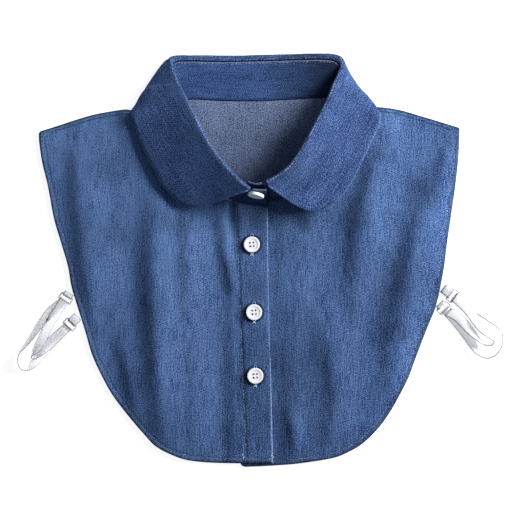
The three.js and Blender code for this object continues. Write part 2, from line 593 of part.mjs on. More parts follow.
let leftPanel = bibPanel(leftOutline, leftMiddle, 7.2, 15);
for (const cutter of buttonholeCutters()) leftPanel = leftPanel.subtract(cutter);
addPiece('front_panel_left', fromManifold(leftPanel), DENIM, 0.9);
addPiece('front_panel_right', fromManifold(bibPanel(rightOutline, frontMiddle, 7.2, 15)), DENIM, 0.9);
addPiece('back_panel', fromManifold(bibPanel(backOutline, backMiddle, 17, 15)), DENIM_WRONG_SIDE, 0.95);

const stand = thickSheet(COLLAR_ROWS.map(standLine), STAND_CLOTH);
addPiece('collar_stand', toGeometry(stand.positions, stand.triangles), DENIM_DARK, 0.9);
// The part of the leaf that is folded under lies flat on the table.
const leaf = thickSheet(COLLAR_ROWS.slice(FIRST_LEAF, LAST_LEAF + 1).map(leafLine), LEAF_CLOTH);
for (let i = 2; i < leaf.positions.length; i += 3) leaf.positions[i] = Math.max(leaf.positions[i], 0);
addPiece('collar_leaf', toGeometry(leaf.positions, leaf.triangles), DENIM, 0.9);

// A dished four-hole button, its underside at z = 0.
function buttonSolid() {
  const r = BUTTON_DIAMETER / 2;
  const profile = [
    [0, 0], [r - 0.9, 0], [r, 0.9], [r - 0.3, BUTTON_HEIGHT - 0.3], [r - 0.8, BUTTON_HEIGHT],
    [r - BUTTON_RIM, BUTTON_HEIGHT - BUTTON_DISH], [0, BUTTON_HEIGHT - BUTTON_DISH],
  ];
  const lathe = new THREE.LatheGeometry(profile.map(([x, y]) => new THREE.Vector2(x, y)), 20);
  lathe.rotateX(Math.PI / 2);
  let button = geometryToManifold(lathe);
  for (const [dx, dy] of [[1, 1], [1, -1], [-1, 1], [-1, -1]]) {
    const drill = new THREE.CylinderGeometry(BUTTON_HOLE / 2, BUTTON_HOLE / 2, 6, 8);
    drill.rotateX(Math.PI / 2);
    drill.translate(dx * BUTTON_HOLE_SPACING / 2, dy * BUTTON_HOLE_SPACING / 2, 1);
    button = button.subtract(geometryToManifold(drill));
  }
  return fromManifold(button);
}

for (const [name, [x, y]] of Object.entries(FRONT_BUTTONS)) {
  const geometry = buttonSolid();
  geometry.translate(x, y, leftMiddle(x, y) + BIB_CLOTH / 2 + PIECE_GAP);
  addPiece(name, geometry, BUTTON_WHITE, 0.35);
}

// The collar button sits on the lapped end of the stand and leans with it.
const standEnd = standLine(COLLAR_ROWS[1]);
const standTop = standEnd[0];
const standSeam = standEnd[3];
const standSlope = standSeam.clone().sub(standTop).normalize();
const standOut = new THREE.Vector3(0, standSlope.z, -standSlope.y).normalize();
if (standOut.z < 0) standOut.negate();
const collarButton = buttonSolid();
const lean = new THREE.Quaternion().setFromUnitVectors(new THREE.Vector3(0, 0, 1), standOut);
collarButton.applyQuaternion(lean);
const collarButtonAt = standTop.clone().lerp(standSeam, COLLAR_BUTTON_AT)
  .addScaledVector(standOut, STAND_CLOTH / 2 + PIECE_GAP);
collarButton.translate(collarButtonAt.x + COLLAR_BUTTON_X, collarButtonAt.y, collarButtonAt.z);
addPiece('collar_button', collarButton, BUTTON_WHITE, 0.35);

// A rectangular ring lying flat, its width along the bearing.
function ringSolid(ring) {
  const outer = new THREE.Shape();
  const w = RING_WIDTH / 2;
  const l = RING_LENGTH / 2;
  outer.moveTo(-w + RING_BEND, -l);
  outer.lineTo(w - RING_BEND, -l);
  outer.quadraticCurveTo(w, -l, w, -l + RING_BEND);
  outer.lineTo(w, l - RING_BEND);
  outer.quadraticCurveTo(w, l, w - RING_BEND, l);
  outer.lineTo(-w + RING_BEND, l);
  outer.quadraticCurveTo(-w, l, -w, l - RING_BEND);
  outer.lineTo(-w, -l + RING_BEND);
  outer.quadraticCurveTo(-w, -l, -w + RING_BEND, -l);
  const window = new THREE.Path();
  window.moveTo(-w + RING_BAR, -l + RING_BAR);
  window.lineTo(-w + RING_BAR, l - RING_BAR);
  window.lineTo(w - RING_BAR, l - RING_BAR);
  window.lineTo(w - RING_BAR, -l + RING_BAR);
  window.lineTo(-w + RING_BAR, -l + RING_BAR);
  outer.holes.push(window);
  const geometry = new THREE.ExtrudeGeometry(outer, {
    depth: RING_BAR, bevelEnabled: false, steps: 1, curveSegments: 4,
  });
  geometry.translate(0, 0, -RING_BAR / 2);
  geometry.rotateZ(THREE.MathUtils.degToRad(ring.bearing));
  geometry.translate(ring.at[0], ring.at[1], RING_HEIGHT);
  return geometry;
}

const BAR_OFFSET = RING_LENGTH / 2 - RING_BAR / 2;

for (const [sideName, strap] of Object.entries(STRAPS)) {
  const sign = sideName === 'left' ? 1 : -1;
  const rings = {};
  for (const key of ['backRing', 'frontRing']) {
    rings[key] = { ...strap[key], toward: strapward(strap[key], sign), barOffset: BAR_OFFSET };
  }
  const lastLayer = (ring, distance) => [
    ring.at[0] + ring.toward[0] * distance,
    ring.at[1] + ring.toward[1] * distance,
    RING_HEIGHT + STRAP_END_LIFT,
    ring.bearing,
    0,
  ];
  const path = [
    ...ringTurn(rings.backRing, false),
    ...tableRows(strap.outer),
    ...ringTurn(rings.frontRing, true),
    ...tableRows(strap.inner),
    ...tableRows([lastLayer(rings.backRing, BAR_OFFSET + STRAP_END_PAST_BAR)]),
  ];
  const band = elasticBand(path);
  addPiece(`${sideName}_strap`, toGeometry(band.positions, band.triangles), ELASTIC_WHITE, 0.8);
  for (const [key, label] of [['frontRing', 'front'], ['backRing', 'back']]) {
    const ring = rings[key];
    addPiece(`${sideName}_${label}_ring`, ringSolid(ring), RING_WHITE, 0.3);
    const inward = { ...ring, toward: [-ring.toward[0], -ring.toward[1]] };
    const edgeZ = TAB_EDGE_Z[label];
    const tabEnd = (z) => [
      ring.at[0] - ring.toward[0] * (BAR_OFFSET + ring.tab),
      ring.at[1] - ring.toward[1] * (BAR_OFFSET + ring.tab),
      z,
      ring.bearing,
      0,
    ];
    const tab = elasticBand([
      ...tableRows([tabEnd(edgeZ - TAB_SPREAD)]),
      ...ringTurn(inward, true),
      ...tableRows([tabEnd(edgeZ + TAB_SPREAD)]),
    ]);
    addPiece(`${sideName}_${label}_tab`, toGeometry(tab.positions, tab.triangles), ELASTIC_WHITE, 0.8);
  }
}

export default group;
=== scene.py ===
import math

import bmesh
import bpy
import numpy as np
from mathutils import Matrix, Vector, noise


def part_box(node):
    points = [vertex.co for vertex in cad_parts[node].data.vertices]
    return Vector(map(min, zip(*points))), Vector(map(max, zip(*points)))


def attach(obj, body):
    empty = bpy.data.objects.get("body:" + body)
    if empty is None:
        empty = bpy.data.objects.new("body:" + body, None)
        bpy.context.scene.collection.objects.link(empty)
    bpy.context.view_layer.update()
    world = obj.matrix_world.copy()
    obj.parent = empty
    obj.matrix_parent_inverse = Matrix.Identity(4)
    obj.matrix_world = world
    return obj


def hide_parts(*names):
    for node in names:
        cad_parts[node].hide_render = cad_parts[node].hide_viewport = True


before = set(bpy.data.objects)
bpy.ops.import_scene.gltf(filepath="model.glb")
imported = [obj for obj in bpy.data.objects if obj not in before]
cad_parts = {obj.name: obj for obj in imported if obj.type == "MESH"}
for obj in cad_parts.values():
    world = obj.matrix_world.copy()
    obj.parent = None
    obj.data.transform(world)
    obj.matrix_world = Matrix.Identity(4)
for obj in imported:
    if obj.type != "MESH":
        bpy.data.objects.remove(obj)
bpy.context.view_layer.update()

# Camera: the photograph looks straight down on the collar, from so far off that its sides stay square.
# The picture is 410 mm wide at the table.
CAMERA_HEIGHT = 2.4
PICTURE_WIDTH = 0.4096
PICTURE_MIDDLE = (-0.0034, 0.0031)
SENSOR = 36.0

bpy.ops.object.select_all(action="DESELECT")
bpy.ops.object.camera_add(
    location=(PICTURE_MIDDLE[0], PICTURE_MIDDLE[1], CAMERA_HEIGHT), rotation=(0, 0, 0)
)
camera = bpy.context.object
camera.name = "camera"
camera.data.sensor_width = SENSOR
camera.data.lens = SENSOR * CAMERA_HEIGHT / PICTURE_WIDTH
camera.data.clip_start = 0.05
camera.data.clip_end = 20
bpy.context.scene.camera = camera
bpy.context.scene.view_settings.view_transform = "Standard"


# Table: a plain pale board that the collar lies on. It reaches well beyond the picture on all sides.
def linear(hex_colour):
    """An sRGB colour such as "4b6794" as linear RGBA."""
    channels = [int(hex_colour[i : i + 2], 16) / 255 for i in (0, 2, 4)]
    return [c / 12.92 if c <= 0.04045 else ((c + 0.055) / 1.055) ** 2.4 for c in channels] + [1.0]


def add_node(tree, kind, inputs=(), **settings):
    """One shader node with its settings. An input is a value, a socket, or a node to link from."""
    node = tree.nodes.new("ShaderNode" + kind)
    for key, value in settings.items():
        setattr(node, key, value)
    for key, value in inputs.items() if isinstance(inputs, dict) else enumerate(inputs):
        if isinstance(value, bpy.types.Node):
            value = [socket for socket in value.outputs if socket.enabled][0]
        if isinstance(value, bpy.types.NodeSocket):
            tree.links.new(value, node.inputs[key])
        else:
            node.inputs[key].default_value = value
    return node


def new_material(name):
    """An empty node material with its output node."""
    material = bpy.data.materials.new(name)
    material.use_nodes = True
    material.node_tree.nodes.clear()
    output = material.node_tree.nodes.new("ShaderNodeOutputMaterial")
    return material, material.node_tree, output


# How strongly the board shines, and how far it lies below zero, in metres, so that it touches no cloth.
BOARD_GLOW = 0.84
BOARD_DROP = 0.0003

bpy.ops.object.select_all(action="DESELECT")
bpy.ops.mesh.primitive_plane_add(size=8, location=(0, 0, -BOARD_DROP))
table = bpy.context.object
table.name = "table_top"
# White opal acrylic with a matt face, lit from within, so that shadows on it stay pale.
table_paint, tree, output = new_material("opal_white_board")
shader = add_node(
    tree, "BsdfPrincipled",
    {
        "Base Color": linear("c8c8c8"), "Roughness": 0.9,
        "Emission Color": (1.0, 1.0, 1.0, 1.0), "Emission Strength": BOARD_GLOW,
    },
)
tree.links.new(shader.outputs["BSDF"], output.inputs["Surface"])
table.data.materials.append(table_paint)

# Light: one large soft light, low beyond the right shoulder, with a faint cool fill.
KEY_PLACE = (1.3, 0.5, 0.7)
KEY_SIZE = 0.8
KEY_POWER = 54
FILL = 0.19
FILL_COLOUR = (0.82, 0.92, 1.12, 1.0)

bpy.ops.object.select_all(action="DESELECT")
bpy.ops.object.light_add(type="AREA", location=KEY_PLACE)
key_light = bpy.context.object
key_light.name = "key_light"
key_light.data.size = KEY_SIZE
key_light.data.energy = KEY_POWER
key_light.rotation_mode = "QUATERNION"
key_light.rotation_quaternion = (-Vector(KEY_PLACE)).to_track_quat("-Z", "Y")
world = bpy.data.worlds.new("studio")
bpy.context.scene.world = world
world.use_nodes = True
world.node_tree.nodes["Background"].inputs["Color"].default_value = FILL_COLOUR
world.node_tree.nodes["Background"].inputs["Strength"].default_value = FILL


# Back bib: one layer of light denim with a narrow turned hem, lying face down on the table.
# It shows only inside the neck, with the greyish wrong side of the cloth up.
# It rises over the part of the collar leaf that is folded beneath it.
BIB_CLOTH = 1.2
LAYER_GAP = 0.4
COLLAR_LIFT = 2.05
HEM_WIDTH = 3.6
FOOTPRINT_SHIFT = (0.6, -0.5)

# Outer edge of the front bib, x y in mm, from the left shoulder point down to the hem at the placket.
LEFT_SIDE = [
    (-177.5, 101.8), (-177.4, 95.6), (-175.0, 78.8), (-170.4, 59.6), (-165.6, 34), (-160, 14.8),
    (-154.4, -4.4), (-151.6, -20.4), (-147.6, -34), (-140.8, -55.6), (-135.2, -74.8), (-128, -90.8),
    (-119.2, -106.8), (-107.2, -122.8), (-93.6, -138.8), (-84, -148.6), (-71.2, -155.4), (-58.4, -159.6),
    (-39.2, -161.6), (-16.8, -162), (9.6, -162),
]
# The same for the right front, from its edge under the placket along the hem and up the side.
RIGHT_SIDE = [
    (-16.8, -164.6), (-2.4, -164.5), (12, -163.7), (31.2, -162), (56.8, -158), (69.6, -153.2),
    (82.4, -145.4), (95.2, -132.4), (104, -119.6), (111.2, -106.8), (117.6, -94), (122.4, -81.2),
    (127.2, -68.4), (132.8, -54), (139.2, -38), (143.2, -22), (146.4, -4.4), (148.8, 14.8),
    (152, 37.2), (155.2, 59.6), (157.6, 82), (158.4, 98), (158.6, 105),
]
# Both shoulder edges run from the shoulder point to the neck.
LEFT_SHOULDER = [
    (-176, 103.4), (-173, 104.3), (-160.8, 108.2), (-148, 112.4), (-135.2, 116.2), (-122.4, 118.8),
    (-109.6, 120.6), (-102, 120), (-88, 120.6), (-76, 121),
]
RIGHT_SHOULDER = [
    (157.8, 106.2), (152.8, 107.8), (140, 111.8), (127.2, 115.6), (114.4, 119.4), (104, 121.4), (97, 122.2),
    (84, 122.6), (71, 120.6),
]
OUTER_EDGE = LEFT_SHOULDER[::-1] + LEFT_SIDE + RIGHT_SIDE[3:] + RIGHT_SHOULDER
# From the left front end round the back of the neck to the right front end. Columns: fold x y z,
# neck seam x y z, leaf middle x y z, leaf outer edge x y z, all mm. The first two and last two rows are of
# the stand alone and stop after the seam.
COLLAR_ROWS = [
    (4.2, 56.0, 34.2, 4.8, 44.6, 7.2),
    (-2.4, 56.0, 34.4, -2.4, 44.8, 7.2),
    (-8.8, 56.8, 34.5, -10.4, 45.2, 7.2, -10.2, 55.6, 34.2, -11.6, 54.4, 33.2),
    (-11.2, 58.8, 34.4, -14.4, 46.2, 7.2, -15.8, 55.8, 32.2, -20.0, 52.2, 28.0),
    (-15.2, 62.0, 34.1, -20.0, 47.8, 7.1, -23.2, 55.4, 29.4, -30.4, 48.4, 21.5),
    (-20.0, 66.4, 33.5, -28.0, 50.8, 6.6, -31.2, 56.4, 26.4, -41.6, 45.2, 15.5),
    (-25.6, 72.4, 32.3, -36.0, 55.6, 6.1, -40.0, 58.4, 23.8, -53.6, 43.6, 11.5),
    (-32.0, 80.0, 30.6, -45.2, 62.4, 5.9, -48.8, 64.4, 22.0, -65.2, 48.0, 10.0),
    (-39.2, 90.0, 28.5, -54.0, 71.6, 5.7, -58.8, 76.0, 20.6, -77.6, 61.2, 9.5),
    (-46.4, 102.8, 26.0, -61.6, 82.8, 5.5, -66.8, 90.0, 18.8, -86.0, 76.4, 9.0),
    (-52.4, 114.8, 23.0, -66.4, 92.8, 5.2, -73.2, 103.0, 17.0, -92.8, 90.4, 8.4),
    (-57.6, 125.4, 20.0, -69.6, 101.2, 5.0, -79.2, 116.4, 15.0, -99.2, 106.0, 7.8),
    (-60.2, 130.2, 18.2, -70.8, 105.4, 4.9, -82.0, 124.0, 13.4, -101.6, 114.6, 8.0),
    (-62.4, 134.4, 16.5, -71.6, 108.4, 4.8, -84.4, 130.4, 11.4, -103.8, 118.8, 5.2),
    (-64.8, 139.0, 14.6, -72.0, 111.8, 4.6, -90.2, 136.4, 8.0, -102.6, 120.0, 1.9),
    (-67.2, 143.6, 12.5, -72.0, 114.8, 4.4, -90.8, 138.0, 4.8, -101.0, 114.4, 0.9),
    (-70.8, 154.0, 8.4, -71.2, 120.8, 3.9, -83.0, 150.4, 2.4, -94.4, 110.4, 0.8),
    (-72.0, 160.8, 5.0, -69.2, 125.2, 3.4, -76.2, 155.0, 1.3, -88.0, 108.8, 0.8),
    (-68.0, 163.2, 3.4, -65.6, 127.6, 3.0, -70.4, 148.0, 0.8, -78.4, 108.0, 0.8),
    (-55.2, 163.4, 2.9, -54.4, 129.0, 2.9, -56.0, 146.0, 0.8, -58.4, 107.6, 0.8),
    (-30.4, 163.0, 2.9, -30.4, 127.8, 2.9, -30.8, 146.0, 0.8, -31.2, 107.2, 0.8),
    (-4.8, 163.4, 2.9, -4.8, 127.6, 2.9, -4.8, 146.0, 0.8, -4.8, 107.6, 0.8),
    (23.2, 164.2, 2.9, 22.4, 128.8, 2.9, 23.2, 146.6, 0.8, 23.2, 108.4, 0.8),
    (45.6, 164.8, 2.9, 44.0, 130.2, 2.9, 46.4, 147.0, 0.8, 47.2, 109.2, 0.8),
    (56.8, 164.4, 3.0, 56.0, 130.4, 3.0, 59.2, 148.0, 0.8, 63.2, 109.6, 0.8),
    (62.8, 162.0, 3.8, 62.0, 128.0, 3.2, 66.8, 150.0, 0.9, 73.6, 110.0, 0.8),
    (64.8, 156.4, 6.2, 64.8, 124.0, 3.6, 71.4, 147.0, 1.7, 82.4, 111.2, 0.8),
    (61.2, 147.6, 11.0, 66.4, 118.0, 4.2, 79.2, 136.6, 4.6, 94.6, 114.6, 0.9),
    (59.0, 143.0, 13.2, 66.9, 114.0, 4.5, 81.0, 133.6, 8.0, 95.4, 118.2, 1.9),
    (56.8, 138.0, 15.5, 66.8, 110.0, 4.8, 77.6, 130.0, 11.2, 95.6, 117.8, 5.2),
    (54.6, 132.6, 17.6, 66.2, 105.8, 4.9, 75.6, 124.8, 13.0, 93.6, 113.8, 8.0),
    (52.0, 126.8, 19.5, 65.2, 101.2, 5.0, 73.2, 118.4, 14.6, 92.8, 108.0, 7.8),
    (46.8, 116.4, 22.5, 61.6, 92.8, 5.2, 67.2, 106.4, 16.8, 86.0, 94.6, 8.4),
    (41.2, 105.2, 25.5, 56.8, 83.6, 5.5, 60.8, 93.2, 18.8, 78.8, 80.0, 9.0),
    (34.8, 93.6, 28.0, 50.0, 74.4, 5.7, 53.6, 80.0, 20.4, 71.2, 65.2, 9.5),
    (28.8, 84.2, 30.0, 42.8, 66.4, 5.7, 45.6, 68.4, 21.8, 62.0, 52.4, 10.0),
    (22.8, 75.6, 31.8, 34.8, 59.6, 5.6, 37.2, 58.8, 23.6, 51.2, 43.4, 11.5),
    (17.6, 70.8, 33.0, 26.4, 54.6, 5.6, 28.6, 54.2, 26.2, 38.8, 40.7, 15.5),
    (12.6, 67.4, 33.6, 18.8, 51.8, 5.6, 20.0, 54.8, 29.4, 26.4, 45.0, 21.5),
    (7.4, 64.4, 34.0, 11.2, 50.2, 5.6, 11.4, 57.4, 32.4, 14.8, 52.2, 28.4),
    (3.0, 62.0, 34.2, 3.6, 49.2, 5.6, 4.6, 60.0, 34.0, 5.8, 58.6, 33.0),
    (-4.8, 60.8, 33.2, -4.8, 48.8, 5.6),
    (-11.0, 62.6, 32.4, -13.2, 49.8, 5.6),
]
# The rows where the shoulder edges meet the neck.
LEFT_NECK_POINT = 17
RIGHT_NECK_POINT = 26


def neck_edge(first, last, clearance):
    """The neck seam moved square out from the collar stand, in plan."""
    edge = []
    for i in range(first, last + 1):
        before, here, after = COLLAR_ROWS[i - 1], COLLAR_ROWS[i], COLLAR_ROWS[i + 1]
        length = math.hypot(after[3] - before[3], after[4] - before[4])
        along = ((after[3] - before[3]) / length, (after[4] - before[4]) / length)
        edge.append((here[3] - along[1] * clearance, here[4] + along[0] * clearance))
    return edge


def smooth_step(t):
    """A soft step from 0 to 1 as t goes from 0 to 1."""
    t = np.clip(t, 0, 1)
    return t * t * (3 - 2 * t)


def between(a, b, c, d, t):
    """The point at t from b to c, on a rounded line that comes from a and goes on to d."""
    return 0.5 * (2 * b + (c - a) * t + (2 * a - 5 * b + 4 * c - d) * t**2 + (3 * b - a - 3 * c + d) * t**3)


def smooth_line(points, step):
    """A rounded line through the points, with a point about every step."""
    p = np.array(points, float)
    padded = np.vstack([2 * p[0] - p[1], p, 2 * p[-1] - p[-2]])
    made = []
    for i in range(1, len(padded) - 2):
        a, b, c, d = padded[i - 1 : i + 3]
        count = max(1, int(round(np.linalg.norm(c - b) / step)))
        made += [between(a, b, c, d, k / count) for k in range(count)]
    made.append(p[-1])
    return np.array(made)


def line_distance(line, x, y):
    """Distance in plan from each point to a line, and how far along the line its nearest point is."""
    best = np.full(len(x), 1e9)
    along_best = np.zeros(len(x))
    travelled = 0.0
    for (ax, ay), (bx, by) in zip(line[:-1], line[1:]):
        length = math.hypot(bx - ax, by - ay)
        if length < 1e-9:
            continue
        t = np.clip(((x - ax) * (bx - ax) + (y - ay) * (by - ay)) / length**2, 0, 1)
        d = np.hypot(x - ax - t * (bx - ax), y - ay - t * (by - ay))
        nearer = d < best
        best[nearer] = d[nearer]
        along_best[nearer] = travelled + t[nearer] * length
        travelled += length
    return best, along_best


def toward_centre(points, distance, centre=(-10, -20)):
    """The points moved in towards the middle of the bib."""
    away = np.array(points, float) - np.array(centre)
    length = np.linalg.norm(away, axis=1, keepdims=True)
    return np.array(centre) + away * (1 - distance / length)


# The leaf lies under the back bib above this y and between these x. The cloth eases up to it from this
# far off.
LEAF_UNDER_Y = 106.5
LEAF_UNDER_X = (-103, 97.5)
LEAF_EASE = 18
# Where the leaf comes out at each shoulder it pushes the bib up a little more.
LEAF_CORNERS = [(-103, 120), (98, 120)]
CORNER_LIFT = 1.6
CORNER_REACH = 9


def back_lift(x, y):
    """How far the back bib is raised by the leaf beneath it."""
    outside = np.maximum.reduce([LEAF_UNDER_X[0] - x, x - LEAF_UNDER_X[1], np.zeros_like(x)])
    below = np.maximum(LEAF_UNDER_Y - y, 0)
    ramp = smooth_step(1 - np.hypot(outside, below) / LEAF_EASE)
    wrap = sum(np.exp(-(np.hypot(x - cx, y - cy) / CORNER_REACH) ** 2) for cx, cy in LEAF_CORNERS)
    return COLLAR_LIFT * ramp + CORNER_LIFT * wrap


def ripple(x, y, length, stretch, seed):
    """Soft random height from -1 to 1, drawn out along y."""
    return np.array([
        noise.noise(Vector((a / length, b / (length * stretch), seed))) for a, b in zip(x, y)
    ])


def back_middle(x, y):
    """Height of the middle of the back bib's cloth."""
    return back_lift(x, y) + BIB_CLOTH / 2


def face_out(mesh):
    """All faces of a closed mesh turned outwards."""
    solid = bmesh.new()
    solid.from_mesh(mesh)
    bmesh.ops.recalc_face_normals(solid, faces=solid.faces[:])
    if solid.calc_volume(signed=True) < 0:
        bmesh.ops.reverse_faces(solid, faces=solid.faces[:])
    solid.to_mesh(mesh)
    solid.free()


def link_mesh(name, mesh):
    """The mesh as an object of the scene, at the origin."""
    made = bpy.data.objects.new(name, mesh)
    bpy.context.scene.collection.objects.link(made)
    return made


mm = 0.001
MILLIMETRES = Matrix.Scale(mm, 4)


def bib_sheet(name, outline, hem_line, middle, step=(2.4, 3.2)):
    """A bib panel as a closed sheet on a fine grid, with its weave and edge coordinates in mm."""
    outline = np.array(outline, float)
    flat = bmesh.new()
    flat.faces.new([flat.verts.new((x, y, 0)) for x, y in outline])
    low, high = outline.min(0), outline.max(0)
    for axis in (0, 1):
        normal = (1, 0, 0) if axis == 0 else (0, 1, 0)
        count = int((high[axis] - low[axis]) / step[axis])
        for k in range(1, count):
            place = [0, 0, 0]
            place[axis] = low[axis] + (high[axis] - low[axis]) * k / count
            bmesh.ops.bisect_plane(
                flat, geom=flat.verts[:] + flat.edges[:] + flat.faces[:], dist=1e-4,
                plane_co=place, plane_no=normal,
            )
    bmesh.ops.remove_doubles(flat, verts=flat.verts[:], dist=0.05)
    bmesh.ops.recalc_face_normals(flat, faces=flat.faces[:])
    flat.verts.ensure_lookup_table()
    if sum(f.normal.z * f.calc_area() for f in flat.faces) < 0:
        bmesh.ops.reverse_faces(flat, faces=flat.faces[:])
    xy = np.array([(v.co.x, v.co.y) for v in flat.verts])
    closed = np.vstack([outline, outline[:1]])
    edge, _ = line_distance(closed, xy[:, 0], xy[:, 1])
    from_hem, along = line_distance(hem_line, xy[:, 0], xy[:, 1])
    height = middle(xy[:, 0], xy[:, 1])
    hem = smooth_step((HEM_WIDTH + 0.8 - from_hem) / 1.2)
    half = BIB_CLOTH / 2 * (1 - 0.45 * smooth_step(1 - edge / 0.7)) + 0.16 * hem
    count = len(xy)
    vertices = [(x, y, z + h) for (x, y), z, h in zip(xy, height, half)]
    vertices += [(x, y, z - BIB_CLOTH / 2 * 0.9) for (x, y), z in zip(xy, height)]
    faces = [[v.index for v in f.verts] for f in flat.faces]
    upper_count = len(faces)
    faces += [[count + i for i in reversed(face)] for face in faces]
    for e in flat.edges:
        if len(e.link_faces) == 1:
            loop = e.link_loops[0]
            a, b = loop.vert.index, loop.link_loop_next.vert.index
            faces.append([b, a, count + a, count + b])
    flat.free()
    mesh = bpy.data.meshes.new(name)
    shift_x, shift_y = FOOTPRINT_SHIFT
    mesh.from_pydata([(x + shift_x, y + shift_y, z) for x, y, z in vertices], [], faces)
    mesh.transform(MILLIMETRES)
    weave = mesh.uv_layers.new(name="weave")
    seam = mesh.uv_layers.new(name="seam")
    for polygon in mesh.polygons:
        for corner in polygon.loop_indices:
            i = mesh.loops[corner].vertex_index % count
            weave.data[corner].uv = (xy[i, 0] / 100, xy[i, 1] / 100)
            seam.data[corner].uv = (along[i] / 100, from_hem[i] / 100)
    for k, polygon in enumerate(mesh.polygons):
        polygon.use_smooth = True
        polygon.material_index = 1 if upper_count <= k < 2 * upper_count else 0
    face_out(mesh)
    return link_mesh(name, mesh)


# On denim, in mm: the pitch of the stitches, how far in from the outer edge painted shade darkens the cloth
# where it turns under, how far in the painted shadow line beside the shoulder seam lies, and how far in the
# edge is pale, partly from wear and partly a painted highlight.
STITCH_PITCH = 2.7
EDGE_SHADE_WIDTH = 2.2
SHOULDER_SHADOW_LINE = 3.4
EDGE_PALE_WIDTH = 1.2


